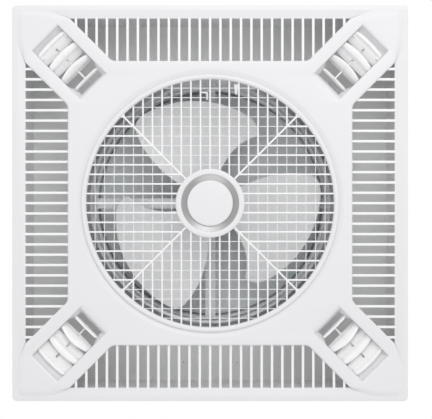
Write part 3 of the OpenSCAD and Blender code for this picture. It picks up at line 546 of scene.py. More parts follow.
class Sculpt:
    """A mesh in the making, in millimetres."""

    def __init__(self) -> None:
        """Start with nothing."""
        self.verts: list[Vector] = []
        self.faces: list[tuple[int, ...]] = []

    def add(self, points: list[Vector]) -> list[int]:
        """Add points.

        Args:
            points: The points.

        Returns:
            Their numbers.
        """
        first = len(self.verts)
        self.verts.extend(points)
        return list(range(first, len(self.verts)))

    def skin(self, rows: list[list[Vector]]) -> list[list[int]]:
        """Add closed rows of points and join them in order by faces.

        Args:
            rows: The rows, with as many points each.

        Returns:
            The numbers of the points, row by row.
        """
        numbers = [self.add(row) for row in rows]
        count = len(rows[0])
        for a, b in zip(numbers, numbers[1:]):
            for i in range(count):
                j = (i + 1) % count
                self.faces.append((a[i], a[j], b[j], b[i]))
        return numbers

    def fill(self, outer: list[int], holes: list[list[int]]) -> None:
        """Fill a flat face with holes.

        Args:
            outer: Its outer row.
            holes: The rows of its holes.
        """
        rows = [outer, *holes]
        flat = [i for row in rows for i in row]
        places = [[Vector((*self.verts[i].xy, 0.0)) for i in row] for row in rows]
        for face in tessellate_polygon(places):
            self.faces.append(tuple(flat[i] for i in face))

    def plate(self, outer: list[Ring], holes: list[list[Ring]] | None = None) -> "Sculpt":
        """Add a closed plate from rings that run over its edges from front to back.

        Args:
            outer: Rings over the outer edge.
            holes: For each hole, rings over its edge.

        Returns:
            This mesh.
        """
        edges = [outer, *(holes or [])]
        rows = [self.skin([lifted(ring) for ring in rings]) for rings in edges]
        self.fill(rows[0][0], [r[0] for r in rows[1:]])
        self.fill(rows[0][-1], [r[-1] for r in rows[1:]])
        return self

    def lathe(self, profile: Flat, count: int = 96, closed: bool = True) -> "Sculpt":
        """Turn a profile of radius and height about Z.

        Args:
            profile: Points as radius and height; a radius of 0 is a pole.
            count: Segments round the axis.
            closed: Whether the profile closes on itself.

        Returns:
            This mesh.
        """
        rows = []
        for r, z in profile:
            if r < POLE_R:
                rows.append(self.add([Vector((0, 0, z))]) * count)
            else:
                rows.append(self.add(lifted((circle(r, count), z))))
        pairs = list(zip(rows, rows[1:])) + ([(rows[-1], rows[0])] if closed else [])
        for a, b in pairs:
            for i in range(count):
                j = (i + 1) % count
                face = list(dict.fromkeys((a[i], a[j], b[j], b[i])))
                if len(face) > 2:
                    self.faces.append(tuple(face))
        return self

    def loft(self, rows: list[list[Vector]]) -> "Sculpt":
        """Skin closed sections in order, and close the ends by quads across them.

        Args:
            rows: The sections, with as many points each, one side forth and the other back.

        Returns:
            This mesh.
        """
        numbers = self.skin(rows)
        count = len(numbers[0])
        for end in (numbers[0], numbers[-1]):
            for j in range(count // 2 - 1):
                self.faces.append((end[j], end[j + 1], end[count - 2 - j], end[count - 1 - j]))
        return self

    def prism(self, rows: list[list[Vector]]) -> "Sculpt":
        """Skin flat sections of any outline in order, and close the two ends by one face each.

        Args:
            rows: The sections, with as many points each.

        Returns:
            This mesh.
        """
        numbers = self.skin(rows)
        self.faces += [tuple(numbers[0]), tuple(reversed(numbers[-1]))]
        return self

    def moved(self, matrix: Matrix) -> "Sculpt":
        """Move every point by a matrix in millimetres, and give this mesh."""
        self.verts = [matrix @ v for v in self.verts]
        return self

    def joined(self, *others: "Sculpt") -> "Sculpt":
        """Add other meshes.

        Args:
            others: The other meshes.

        Returns:
            This mesh.
        """
        for other in others:
            first = len(self.verts)
            self.verts.extend(other.verts)
            self.faces.extend(tuple(i + first for i in f) for f in other.faces)
        return self

    def finish(
        self, name: str, finish: Palette, smooth: float = SMOOTH_DEG
    ) -> bpy.types.Object:
        """Make the object, with outward faces and smooth shading up to an angle.

        Args:
            name: The piece's name.
            finish: Its finish.
            smooth: Largest angle that is shaded smooth, in degrees.

        Returns:
            The object, at the origin.
        """
        mesh = bpy.data.meshes.new(name)
        mesh.from_pydata([v * MM for v in self.verts], [], self.faces)
        work = bmesh.new()
        work.from_mesh(mesh)
        bmesh.ops.remove_doubles(work, verts=work.verts, dist=MERGE)
        bmesh.ops.recalc_face_normals(work, faces=work.faces)
        work.to_mesh(mesh)
        work.free()
        smoothed(mesh, smooth)
        mesh.materials.append(finish.material)
        return shown(name, mesh)


def settle(
    piece: bpy.types.Object, body: str, finish: Palette, nodes: tuple[str, ...] = ()
) -> bpy.types.Object:
    """Let a finished piece ride on its body and stand for CAD nodes.

    Args:
        piece: The piece.
        body: The CAD body.
        finish: Its finish; its record's slot is looked up and not kept.
        nodes: CAD nodes that it stands for.

    Returns:
        The piece.
    """
    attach(piece, body)
    if nodes:
        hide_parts(*nodes)
    finish.slot
    LOG.info("%s: %d faces", piece.name, len(piece.data.polygons))
    return piece


def softened(
    node: str, finish: Palette, width: float, segments: int = 2, body: str = "housing"
) -> bpy.types.Object:
    """Stand in for a CAD node by a merged copy with rounded edges.

    Args:
        node: The CAD node.
        finish: Its finish.
        width: Width of the rounding in millimetres.
        segments: Segments in the rounding.
        body: The CAD body.

    Returns:
        The piece.
    """
    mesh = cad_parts[node].data.copy()
    work = bmesh.new()
    work.from_mesh(mesh)
    bmesh.ops.remove_doubles(work, verts=work.verts, dist=CAD_MERGE)
    bmesh.ops.dissolve_limit(
        work, angle_limit=math.radians(FLAT_DEG), verts=work.verts, edges=work.edges
    )
    work.to_mesh(mesh)
    work.free()
    smoothed(mesh, CAD_SMOOTH_DEG)
    mesh.materials.clear()
    mesh.materials.append(finish.material)
    piece = shown(f"{node}_soft", mesh)
    bevel = piece.modifiers.new("edge", "BEVEL")
    bevel.width = width * MM
    bevel.segments = segments
    bevel.limit_method = "ANGLE"
    bevel.angle_limit = math.radians(CAD_SMOOTH_DEG)
    bevel.harden_normals = True
    bevel.use_clamp_overlap = True
    return settle(piece, body, finish, (node,))


def dressed(node: str, finish: Palette) -> None:
    """Give a carried-over CAD node its finish.

    Args:
        node: The CAD node.
        finish: Its finish.
    """
    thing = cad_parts[node]
    thing.data.materials.clear()
    thing.data.materials.append(finish.material)
    finish.slot
    LOG.info("%s: CAD node in %s", node, finish.slot)


class Net(Graph):
    """A Geometry Nodes tree in the making, with named sizes as its inputs."""

    def __init__(self, name: str, sizes: dict[str, float]) -> None:
        """Start a tree.

        Args:
            name: The tree's name.
            sizes: Sizes in millimetres and counts by input name.
        """
        super().__init__(bpy.data.node_groups.new(name, "GeometryNodeTree"))
        self.sizes = sizes
        labels = [("Seats", "Geometry"), *((size, "Float") for size in sizes), ("Finish", "Material")]
        for label, kind in labels:
            self.tree.interface.new_socket(label, in_out="INPUT", socket_type=f"NodeSocket{kind}")
        self.tree.interface.new_socket(
            "Geometry", in_out="OUTPUT", socket_type="NodeSocketGeometry"
        )
        self.entry = self.tree.nodes.new("NodeGroupInput")
        self.exit = self.tree.nodes.new("NodeGroupOutput")

    def size(self, label: str) -> Socket:
        """Give the socket of a named input."""
        return self.entry.outputs[label]

    def vector(self, x: object, y: object, z: object) -> Socket:
        """Join three numbers into a vector."""
        return self.put("ShaderNodeCombineXYZ", {0: x, 1: y, 2: z}).outputs[0]

    def place(self) -> tuple[Socket, ...]:
        """Give the x, y and z of each point."""
        return self.split(self.put("GeometryNodeInputPosition").outputs[0])

    def given(self, label: str, kind: str = "FLOAT") -> Socket:
        """Give an attribute of the seats."""
        return self.put("GeometryNodeInputNamedAttribute", {"Name": label}, data_type=kind).outputs[0]

    def bar(self, width: object, depth: object, rounding: object) -> Socket:
        """Make a bar of unit length along X, with rounded edges.

        Args:
            width: Its size along Y.
            depth: Its size along Z.
            rounding: Radius of its edges.

        Returns:
            The bar.
        """
        outline = self.put("GeometryNodeCurvePrimitiveQuadrilateral", {"Width": width, "Height": depth})
        rounded = self.put(
            "GeometryNodeFilletCurve",
            {"Curve": outline.outputs[0], "Radius": rounding, "Count": 2, "Limit Radius": True},
            mode="POLY",
        )
        rail = self.put("GeometryNodeCurvePrimitiveLine", {"End": (1.0, 0.0, 0.0)})
        swept = self.put(
            "GeometryNodeCurveToMesh",
            {"Curve": rail.outputs[0], "Profile Curve": rounded.outputs[0], "Fill Caps": True},
        )
        return swept.outputs[0]

    def dot(self, radius: object, height: object) -> Socket:
        """Make a rivet head, a flattened ball.

        Args:
            radius: Its radius.
            height: Its height.

        Returns:
            The head, with its middle at the origin.
        """
        ball = self.put("GeometryNodeMeshUVSphere", {"Segments": 16, "Rings": 8, "Radius": radius})
        flat = self.vector(1.0, 1.0, self.math("DIVIDE", height, radius))
        return self.put("GeometryNodeTransform", {"Geometry": ball.outputs[0], "Scale": flat}).outputs[0]

    def raised(self, geometry: Socket, height: object) -> Socket:
        """Move a whole geometry up."""
        inputs = {"Geometry": geometry, "Translation": self.vector(0.0, 0.0, height)}
        return self.put("GeometryNodeTransform", inputs).outputs[0]

    def cut(self, body: Socket, tool: Socket) -> Socket:
        """Take a shape away from a body."""
        inputs = {"Mesh 1": body, "Mesh 2": tool}
        return self.put("GeometryNodeMeshBoolean", inputs, operation="DIFFERENCE").outputs[0]

    def seat(self, x: object, z: object) -> Socket:
        """Make one point above the X axis."""
        inputs = {"Count": 1, "Position": self.vector(x, 0.0, z)}
        return self.put("GeometryNodePoints", inputs).outputs[0]

    def line(self, count: object, start: Socket, step: Socket) -> Socket:
        """Make points in a line, from the first one on by the same step."""
        inputs = {"Count": count, "Start Location": start, "Offset": step}
        return self.put("GeometryNodeMeshLine", inputs).outputs[0]

    def row(self, half: object, pitch: object) -> Socket:
        """Make points along Y, with as many on each side of the middle one.

        Args:
            half: Points on each side.
            pitch: Distance between points.

        Returns:
            The points.
        """
        first = self.times(self.times(half, pitch), -1.0)
        count = self.plus(self.times(half, 2.0), 1.0)
        return self.line(count, self.vector(0.0, first, 0.0), self.vector(0.0, pitch, 0.0))

    def moved(self, points: Socket, position: Socket) -> Socket:
        """Set the place of each point."""
        return self.put("GeometryNodeSetPosition", {"Geometry": points, "Position": position}).outputs[0]

    def copies(
        self, points: Socket, instance: Socket, scale: object = (1.0, 1.0, 1.0), turn: object = None
    ) -> Socket:
        """Put a copy on each point.

        Args:
            points: The points.
            instance: What is copied.
            scale: Scale of each copy.
            turn: Rotation of each copy.

        Returns:
            The copies.
        """
        inputs = {"Points": points, "Instance": instance, "Scale": scale}
        if turn is not None:
            inputs["Rotation"] = turn
        return self.put("GeometryNodeInstanceOnPoints", inputs).outputs[0]

    def stretched(self, points: Socket, bar: Socket, length: object) -> Socket:
        """Put a bar of its own length on each point."""
        return self.copies(points, bar, self.vector(length, 1.0, 1.0))

    def wheel(self, geometry: Socket, count: int, start: float = 0.0) -> Socket:
        """Repeat a geometry round Z.

        Args:
            geometry: What is repeated.
            count: Number of copies.
            start: Angle of the first copy in degrees.

        Returns:
            The copies.
        """
        points = self.put("GeometryNodePoints", {"Count": count})
        step = self.times(self.put("GeometryNodeInputIndex").outputs[0], math.tau / count)
        angle = self.plus(step, math.radians(start))
        return self.copies(points.outputs[0], geometry, turn=self.vector(0.0, 0.0, angle))

    def join(self, *parts: Socket) -> Socket:
        """Join geometries.

        Args:
            parts: The geometries.

        Returns:
            All of them as one.
        """
        joined = self.put("GeometryNodeJoinGeometry")
        for part in parts:
            self.tree.links.new(part, joined.inputs[0])
        return joined.outputs[0]

    def close(self, geometry: Socket) -> None:
        """End the tree in real geometry with its finish.

        Args:
            geometry: What the tree has made.
        """
        real = self.put("GeometryNodeRealizeInstances", {0: geometry})
        painted = self.put(
            "GeometryNodeSetMaterial", {0: real.outputs[0], "Material": self.size("Finish")}
        )
        self.feed(self.exit, 0, painted.outputs[0])

    def grow(
        self, name: str, finish: Palette, seats: bpy.types.Mesh | None = None
    ) -> bpy.types.Object:
        """Run the tree once and keep its result as a plain mesh.

        Args:
            name: The piece's name.
            finish: Its finish.
            seats: Points that the tree reads, if it reads any.

        Returns:
            The object, at the origin.
        """
        host = shown(name, seats or bpy.data.meshes.new(name))
        step = host.modifiers.new("grow", "NODES")
        step.node_group = self.tree
        for item in self.tree.interface.items_tree:
            if item.in_out == "INPUT" and item.name in self.sizes:
                scale = 1.0 if item.name.startswith("Number") else MM
                step[item.identifier] = float(self.sizes[item.name]) * scale
            elif item.in_out == "INPUT" and item.name == "Finish":
                step[item.identifier] = finish.material
        graph = bpy.context.evaluated_depsgraph_get()
        mesh = bpy.data.meshes.new_from_object(host.evaluated_get(graph))
        host.modifiers.remove(step)
        host.data = mesh
        mesh.name = name
        smoothed(mesh)
        return host


def as_one(name: str, pieces: list[bpy.types.Object]) -> bpy.types.Object:
    """Join pieces of one finish into the first.

    Args:
        name: Name of the joined piece.
        pieces: The pieces, all at the origin.

    Returns:
        The joined piece.
    """
    work = bmesh.new()
    for piece in pieces:
        work.from_mesh(piece.data)
    first = pieces[0]
    work.to_mesh(first.data)
    work.free()
    for piece in pieces[1:]:
        bpy.data.objects.remove(piece)
    first.name = first.data.name = name
    smoothed(first.data)
    return first


@dataclass(frozen=True)
class Layout:
    """Sizes of the panel's face that several sub-assemblies share."""

    half: float
    rim_front: float = 6.0
    body_front: float = 2.0
    wall: float = 2.5
    rim_w: float = 20.3
    lobe_gap: float = 7.5
    arm_w: float = 94.0
    well_len: float = 103.0
    well_w: float = 54.6
    corner_gap: float = 60.1
    well_gap: float = 61.0
    bead_w: float = 7.5
    bead_gap: float = 0.5
    groove_w: float = 5.0
    groove_border: float = 3.0
    body_border: float = 11.5
    hub_r: float = 51.7
    body_corner_r: float = 13.0
    arm_foot_r: float = 5.0
    lobe_side_r: float = 66.0
    lobe_r: float = 12.0
    lobe_side_deg: float = 22.5
    lobe_tuck: float = 2.0
    arm_tuck: float = 1.0
    tuck_run: float = 28.0
    tuck_r: Triple = (3.0, 20.0, 10.0)
    dish_share: float = 0.7

    @classmethod
    def of_frame(cls) -> "Layout":
        """Read the panel's half width from the CAD frame."""
        return cls(half=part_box("front_panel")[1].x / MM)

    @property
    def rim_in(self) -> float:
        """Inner edge of the flat rim."""
        return self.half - self.rim_w

    @property
    def lobe_half(self) -> float:
        """Half width over the raised corner lobes."""
        return self.half - self.lobe_gap

    @property
    def arm_s(self) -> float:
        """Offset between the two sides of a diagonal arm along X."""
        return self.arm_w / math.sqrt(2)

    @property
    def well_start(self) -> float:
        """Distance from the middle of the panel to a corner well."""
        return self.lobe_half * math.sqrt(2) - self.corner_gap - self.well_len

    @property
    def open_r(self) -> float:
        """Radius of the round opening."""
        return self.well_start - self.well_gap

    @property
    def bead_r(self) -> float:
        """Outer radius of the bead round the opening."""
        return self.open_r + self.bead_w

    @property
    def groove_r(self) -> float:
        """Outer radius of the groove round the bead."""
        return self.bead_r + self.bead_gap + self.groove_w

    @property
    def body_half(self) -> float:
        """Half width of the raised square body."""
        return self.groove_r + self.groove_border + self.body_border

    def body_loop(self) -> Flat:
        """Give the outline of the raised body with its arms and lobes.

        Returns:
            The loop.
        """
        b, r, h, s = self.body_half, self.rim_in, self.lobe_half, self.arm_s
        run = (h - r) / math.tan(math.radians(self.lobe_side_deg))
        arm = [(b, b - s, self.body_corner_r), (r, r - s, self.arm_foot_r)]
        side, far = self.lobe_side_r, r - s + run
        lobe = [(h, far, side), (h, h, self.lobe_r), (far, h, side)]
        other = [(y, x, radius) for x, y, radius in reversed(arm)]
        return rounded_loop(quarter_copies(arm + lobe + other))

    def rim_hole(self) -> Flat:
        """Give the inner edge of the rim, which runs under the lobes.

        Returns:
            The loop.
        """
        r, h = self.rim_in, self.lobe_half - self.lobe_tuck
        inside = r - self.arm_s - self.arm_tuck
        far = inside + self.tuck_run
        foot, side, tip = self.tuck_r
        corners = [(r, inside, foot), (h, far, side), (h, h, tip), (far, h, side), (inside, r, foot)]
        return rounded_loop(quarter_copies(corners), 5)

    def well_loops(
        self, grow: float, dish: float = 0.0, lip: float = 0.0, r: float = 1.6
    ) -> list[Flat]:
        """Give the outlines of the four corner wells.

        Args:
            grow: Distance outwards.
            dish: Further distance outwards at the inner end.
            lip: Further distance outwards at the outer end.
            r: Corner radius.

        Returns:
            The four loops.
        """
        x0, x1, y = self.well_start, self.well_start + self.well_len, self.well_w / 2
        near, far, side = x0 - grow - dish, x1 + grow + lip, y + grow
        s, t = r + dish * self.dish_share + grow, r + lip * self.dish_share + grow
        loop = rounded_loop([(near, -side, s), (far, -side, t), (far, side, t), (near, side, s)], 6)
        return [[turned(p, angle) for p in loop] for angle in CORNER_DEG]


@dataclass
class Panel:
    """The square front moulding with its rim, raised body and slot bars."""

    lay: Layout
    skirt_z: float = 20.0
    corner_r: float = 7.0
    rim_steps: tuple[tuple[float, float], ...] = ((6.6, 0.0), (5.0, 0.15))
    rim_drop: float = 0.45
    rim_round: float = 2.4
    hole_steps: tuple[tuple[float, float], ...] = ((0.8, 0.0), (0.25, 0.25))
    hole_round: float = 0.8
    hole_ledge: float = 1.5
    edge: float = 0.5
    groove_steps: tuple[tuple[float, float], ...] = (
        (3.5, 0.0), (2.0, 0.15), (0.5, 0.6), (-1.0, 1.3), (-2.5, 2.0), (-4.0, 2.5)
    )
    foot_steps: tuple[tuple[float, float], ...] = ((0.2, 2.75), (0.0, 3.2))
    bead_gap: float = 0.15
    well_steps: tuple[tuple[float, ...], ...] = (
        (1.8, 8.5, 3.6, 0.0), (1.3, 6.8, 2.8, 0.15), (0.8, 5.0, 2.0, 0.5), (0.4, 3.2, 1.2, 1.05),
        (0.1, 1.4, 0.5, 1.8), (0.0, 0.1, 0.05, 2.4),
    )
    body_round: float = 3.2
    lobe_fall: float = 9.0
    fall_run: float = 9.0
    fall_share: float = 0.65
    bar_pitch: float = 15.5
    bar_w: float = 3.8
    bar_depth: float = 4.0
    bar_edge: float = 0.7
    bar_lap: float = 0.8
    bar_tuck: float = 2.2
    boss_r: float = 4.0
    boss_h: float = 4.0
    boss_bore: float = 1.4
    boss_inset: float = 8.5
    boss_off: float = 150.0

    def rim(self) -> Sculpt:
        """Make the flat rim with its rounded skirt.

        Returns:
            The rim.
        """
        h, z, wall = self.lay.half, self.lay.rim_front, self.lay.wall
        square = rounded_loop(quarter_copies([(h, h, self.corner_r)]), 8)
        back = z + wall
        outer: list[Ring] = [(grown(square, -inset), z + drop) for inset, drop in self.rim_steps]
        level = z + self.rim_drop
        for q in range(0, 91, 15):
            s, c = math.sin(math.radians(q)), math.cos(math.radians(q))
            outer.append((grown(square, -self.rim_round * (1 - s)), level + self.rim_round * (1 - c)))
        outer += [
            (square, self.skirt_z - self.edge),
            (grown(square, -self.edge), self.skirt_z),
            (grown(square, self.edge - wall), self.skirt_z),
            (grown(square, -wall), self.skirt_z - self.edge),
            (grown(square, -wall), back),
        ]
        hole = self.lay.rim_hole()
        ledge = grown(hole, self.hole_ledge)
        inner: list[Ring] = [(grown(hole, out), z + drop) for out, drop in self.hole_steps]
        inner += [
            (hole, z + self.hole_round),
            (hole, z + self.bar_depth),
            (ledge, z + self.bar_depth),
            (ledge, back),
        ]
        return Sculpt().plate(outer, [inner])

    def shoulder(self, loop: Flat) -> list[Ring]:
        """Round the edge of the raised body, tightly at the windows and in a soft fall over the lobes.

        Args:
            loop: Outline of the body.

        Returns:
            Rings from the flat face to the edge.
        """
        z, r = self.lay.body_front, self.body_round
        outward = [Vector(b) - Vector(a) for a, b in zip(loop, grown(loop, 1.0))]
        beyond = [max(abs(x), abs(y)) - self.lay.rim_in for x, y in loop]
        weights = [eased(clamped(run / self.fall_run)) for run in beyond]
        rings: list[Ring] = []
        for i in range(13):
            t = i / 12
            tight = (r * (1 - math.sin(t * math.pi / 2)), r * (1 - math.cos(t * math.pi / 2)))
            fall = self.fall_share * eased(t) + (1 - self.fall_share) * t * t
            soft = (self.lobe_fall * (1 - t), (self.lay.rim_front - z + 0.05) * fall)
            places, levels = [], []
            for (x, y), way, w in zip(loop, outward, weights):
                inset = tight[0] + (soft[0] - tight[0]) * w
                places.append((x - way.x * inset, y - way.y * inset))
                levels.append(z + tight[1] + (soft[1] - tight[1]) * w)
            rings.append((places, levels))
        return rings

    def body(self) -> Sculpt:
        """Make the raised body with the round hole, its groove and the four wells.

        Returns:
            The body.
        """
        lay, z = self.lay, self.lay.body_front
        loop = lay.body_loop()
        deep, back = lay.rim_front + self.bar_depth, z + lay.wall
        outer = self.shoulder(loop) + [
            (loop, deep - 0.3),
            (grown(loop, -0.4), deep),
            (grown(loop, -lay.wall), deep),
            (grown(loop, -lay.wall), back),
        ]
        g, p = lay.groove_r, lay.bead_r + self.bead_gap
        seat, border = lay.rim_front + lay.wall, g + lay.groove_border
        profile = [(g + out, z + drop) for out, drop in self.groove_steps]
        profile += [(p + out, z + drop) for out, drop in self.foot_steps]
        profile += [(p, seat), (border, seat), (border, back)]
        holes = [[(circle(r, 160), level) for r, level in profile]]
        steps = (*self.well_steps, (0.0, 0.0, 0.0, lay.wall))
        rings = [[(loop, z + drop) for loop in lay.well_loops(*outset)] for *outset, drop in steps]
        wells = [list(one) for one in zip(*rings)]
        return Sculpt().plate(outer, holes + wells)

    def bars(self) -> bpy.types.Object:
        """Grow the slot bars of the four windows.

        Returns:
            The bars.
        """
        lay = self.lay
        sizes = {
            "Number half": math.floor((lay.rim_in - lay.arm_s) / self.bar_pitch),
            "Pitch": self.bar_pitch,
            "Width": self.bar_w,
            "Depth": self.bar_depth,
            "Rounding": self.bar_edge,
            "Rim": lay.rim_in + self.bar_lap,
            "Body": lay.body_half,
            "Arm": lay.arm_s,
            "Tuck": self.bar_tuck,
            "Front": lay.rim_front,
        }
        net = Net("slot_bars", sizes)
        bar = net.bar(net.size("Width"), net.size("Depth"), net.size("Rounding"))
        row = net.row(net.size("Number half"), net.size("Pitch"))
        _, y, _ = net.place()
        across = net.plus(net.math("ABSOLUTE", y), net.size("Arm"))
        start = net.minus(net.math("MAXIMUM", across, net.size("Body")), net.size("Tuck"))
        level = net.plus(net.size("Front"), net.times(net.size("Depth"), 0.5))
        points = net.moved(row, net.vector(start, y, level))
        x, _, _ = net.place()
        net.close(net.wheel(net.stretched(points, bar, net.minus(net.size("Rim"), x)), 4))
        return net.grow("slot_bars", Palette.BARS)

    def bosses(self) -> Sculpt:
        """Make the screw bosses behind the rim.

        Returns:
            The eight bosses.
        """
        made = Sculpt()
        x, z, r = self.lay.half - self.boss_inset, self.lay.rim_front + self.lay.wall, self.boss_r
        low, high = z - 0.5, z + self.boss_h
        profile = [(self.boss_bore, low), (r, low), (r, high - 0.4), (r - 0.4, high), (self.boss_bore, high)]
        for k in range(4):
            for s in (-1, 1):
                cx, cy = turned((x, s * self.boss_off), 90 * k)
                made.joined(Sculpt().lathe(profile, 24).moved(Matrix.Translation((cx, cy, 0.0))))
        return made

    def build(self) -> None:
        """Build the moulding and let it stand for its CAD node."""
        shell = self.rim().joined(self.body(), self.bosses()).finish("front_moulding", Palette.PANEL)
        settle(shell, "housing", Palette.PANEL, ("front_panel",))
        settle(self.bars(), "housing", Palette.BARS, ("front_panel",))


# Outlines of the two clips inside the bead, as x, y and radius of each corner.
CLIPS = (
    [(35.4, -178.0, 0.8), (42.6, -178.0, 0.8), (40.2, -163.0, 1.0), (37.8, -163.0, 1.0)],
    [(-15.0, -167.6, 0.8), (-3.4, -166.8, 0.8), (-3.4, -155.0, 0.8), (-5.6, -155.0, 0.8),
     (-5.6, -164.4, 0.8), (-15.0, -165.2, 0.8)],
)


@dataclass
class Grille:
    """The round mesh grille with its bead, struts and hub."""

    lay: Layout
    mesh_pitch: float = 14.4
    mesh_w: float = 2.5
    mesh_edge: float = 0.7
    mesh_half: int = 9
    cross_w: float = 1.05
    cross_depth: float = 2.0
    cross_rise: float = 1.2
    cross_edge: float = 0.4
    cross_count: int = 12
    cross_hidden: int = 3
    front: float = 4.0
    depth: float = 4.5
    rib_w: float = 2.6
    rib_proud: float = 0.2
    rib_edge: float = 0.6
    hub_lap: float = 1.0
    bead_lap: float = 2.0
    ring_r: float = 43.3
    cap_r: float = 34.2
    hub_front: float = 1.0
    recess: float = 6.0
    plate: float = 2.0
    flange_back: float = 11.0
    flange: float = 2.5

    def bead(self) -> Sculpt:
        """Turn the rounded bead with the flange behind it.

        Returns:
            The bead.
        """
        crest, open_r = self.lay.bead_w / 2, self.lay.open_r
        arc = [
            (open_r + crest - crest * math.cos(q), crest - crest * math.sin(q))
            for q in (math.radians(15 * i) for i in range(13))
        ]
        back, wall = self.flange_back, self.lay.groove_r + self.lay.groove_border
        front = back - self.flange
        rest = [(self.lay.bead_r, front), (wall, front), (wall, back - 0.4), (wall - 0.4, back),
                (open_r + 0.4, back), (open_r, back - 0.4)]
        return Sculpt().lathe(arc + rest, 192)

    def hub(self) -> Sculpt:
        """Turn the hub plate with its recess.

        Returns:
            The plate.
        """
        f, r, a, d = self.hub_front, self.lay.hub_r, self.ring_r, self.hub_front + self.recess
        e = d + self.plate
        profile = [(0.0, d), (a, d), (a, f + 1.6), (a + 0.4, f + 0.6), (a + 1.4, f + 0.1), (a + 2.4, f),
                   (r - 2.6, f), (r - 1.2, f + 0.3), (r - 0.3, f + 1.2), (r, f + 2.6), (r, e - 0.4),
                   (r - 0.4, e), (0.0, e)]
        return Sculpt().lathe(profile, 128, closed=False)

    def rails(self, net: Net) -> Socket:
        """Lay the strong bars of one quarter, from the hub to the bead.

        Args:
            net: The tree of the mesh.

        Returns:
            The bars.
        """
        hub, reach = net.size("Hub"), net.size("Reach")
        strong = net.bar(net.size("Width"), net.size("Depth"), self.mesh_edge * MM)
        row = net.row(net.size("Number half"), net.size("Pitch"))
        _, y, _ = net.place()
        low = net.math("MAXIMUM", net.minus(net.times(hub, hub), net.times(y, y)), 0.0)
        start = net.math("MAXIMUM", net.math("ABSOLUTE", y), net.math("SQRT", low))
        points = net.moved(row, net.vector(start, y, net.size("Level")))
        x, y, _ = net.place()
        end = net.math("SQRT", net.minus(net.times(reach, reach), net.times(y, y)))
        return net.stretched(points, strong, net.minus(end, x))

    def ties(self, net: Net) -> Socket:
        """Lay the fine cross bars of one quarter, up to its diagonals or to the bead.

        Args:
            net: The tree of the mesh.

        Returns:
            The bars.
        """
        reach, pitch, hidden = net.size("Reach"), net.size("Pitch"), net.size("Number hidden")
        fine = net.bar(net.size("Cross width"), net.size("Cross depth"), self.cross_edge * MM)
        count = net.minus(net.size("Number cross"), hidden)
        first = net.vector(net.times(net.plus(hidden, 1.0), pitch), 0.0, 0.0)
        line = net.line(count, first, net.vector(pitch, 0.0, 0.0))
        x, _, _ = net.place()
        room = net.math("SQRT", net.minus(net.times(reach, reach), net.times(x, x)))
        side = net.times(net.math("MINIMUM", x, room), -1.0)
        across = net.moved(line, net.vector(x, side, net.size("Cross level")))
        _, y, _ = net.place()
        length = net.vector(net.times(y, -2.0), 1.0, 1.0)
        return net.copies(across, fine, length, (0.0, 0.0, math.pi / 2))

    def mesh(self) -> bpy.types.Object:
        """Grow the strong bars, the fine cross bars and the diagonal ribs.

        Returns:
            The mesh.
        """
        sizes = {
            "Number half": self.mesh_half,
            "Number cross": self.cross_count,
            "Number hidden": self.cross_hidden,
            "Pitch": self.mesh_pitch,
            "Width": self.mesh_w,
            "Cross width": self.cross_w,
            "Depth": self.depth,
            "Cross depth": self.cross_depth,
            "Level": self.front + self.depth / 2,
            "Cross level": self.front + self.depth - self.cross_rise,
            "Hub": self.lay.hub_r - self.hub_lap,
            "Reach": self.lay.open_r + self.bead_lap,
            "Rib": self.rib_w,
            "Rib proud": self.rib_proud,
        }
        net = Net("mesh_bars", sizes)
        quarter = net.join(self.rails(net), self.ties(net))
        depth = net.plus(net.size("Depth"), net.times(net.size("Rib proud"), 2.0))
        rib = net.bar(net.size("Rib"), depth, self.rib_edge * MM)
        span = net.minus(net.size("Reach"), net.size("Hub"))
        ribs = net.stretched(net.seat(net.size("Hub"), net.size("Level")), rib, span)
        net.close(net.join(net.wheel(quarter, 4), net.wheel(ribs, 4, 45.0)))
        return net.grow("mesh_bars", Palette.MESH)

    def hooks(self) -> Sculpt:
        """Make the two small clips inside the bead, at the top.

        Returns:
            The clips.
        """
        low, high = self.front - 0.4, self.front + 3.0
        made = Sculpt()
        for corners in CLIPS:
            loop = rounded_loop(corners, 4)
            edge = [(grown(loop, -0.5), low), (grown(loop, -0.12), low + 0.15)]
            made.plate([*edge, (loop, low + 0.5), (loop, high)])
        return made

    def ring(self) -> Sculpt:
        """Turn the silver ring of the hub.

        Returns:
            The ring.
        """
        f, c, r, d = self.hub_front, self.cap_r, self.ring_r, self.hub_front + self.recess
        profile = [(c, d), (c, f + 4.0), (c + 0.6, f + 3.8), (r - 0.6, f + 2.6), (r, f + 2.5), (r, d)]
        return Sculpt().lathe(profile, 128)

    def cap(self) -> Sculpt:
        """Turn the cap of the hub.

        Returns:
            The cap.
        """
        f, c, d = self.hub_front, self.cap_r, self.hub_front + self.recess
        wall, inner = c - self.plate, f + self.plate
        profile = [(0.0, f), (c - 2.2, f), (c - 1.0, f + 0.2), (c - 0.25, f + 0.8), (c, f + 1.8),
                   (c, d - 0.4), (c - 0.3, d), (wall, d), (wall, inner), (0.0, inner)]
        return Sculpt().lathe(profile, 128, closed=False)

    def build(self) -> None:
        """Build the grille, the hub ring and the hub cap."""
        solid = self.bead().joined(self.hub()).finish("round_grille", Palette.GRILLE)
        settle(solid, "housing", Palette.GRILLE, ("centre_grille",))
        bars = as_one("grille_mesh", [self.mesh(), self.hooks().finish("clips", Palette.MESH)])
        settle(bars, "housing", Palette.MESH, ("centre_grille",))
        ring = self.ring().finish("silver_ring", Palette.SILVER)
        settle(ring, "housing", Palette.SILVER, ("hub_ring",))
        settle(self.cap().finish("hub_disc", Palette.PANEL), "housing", Palette.PANEL, ("hub_cap",))


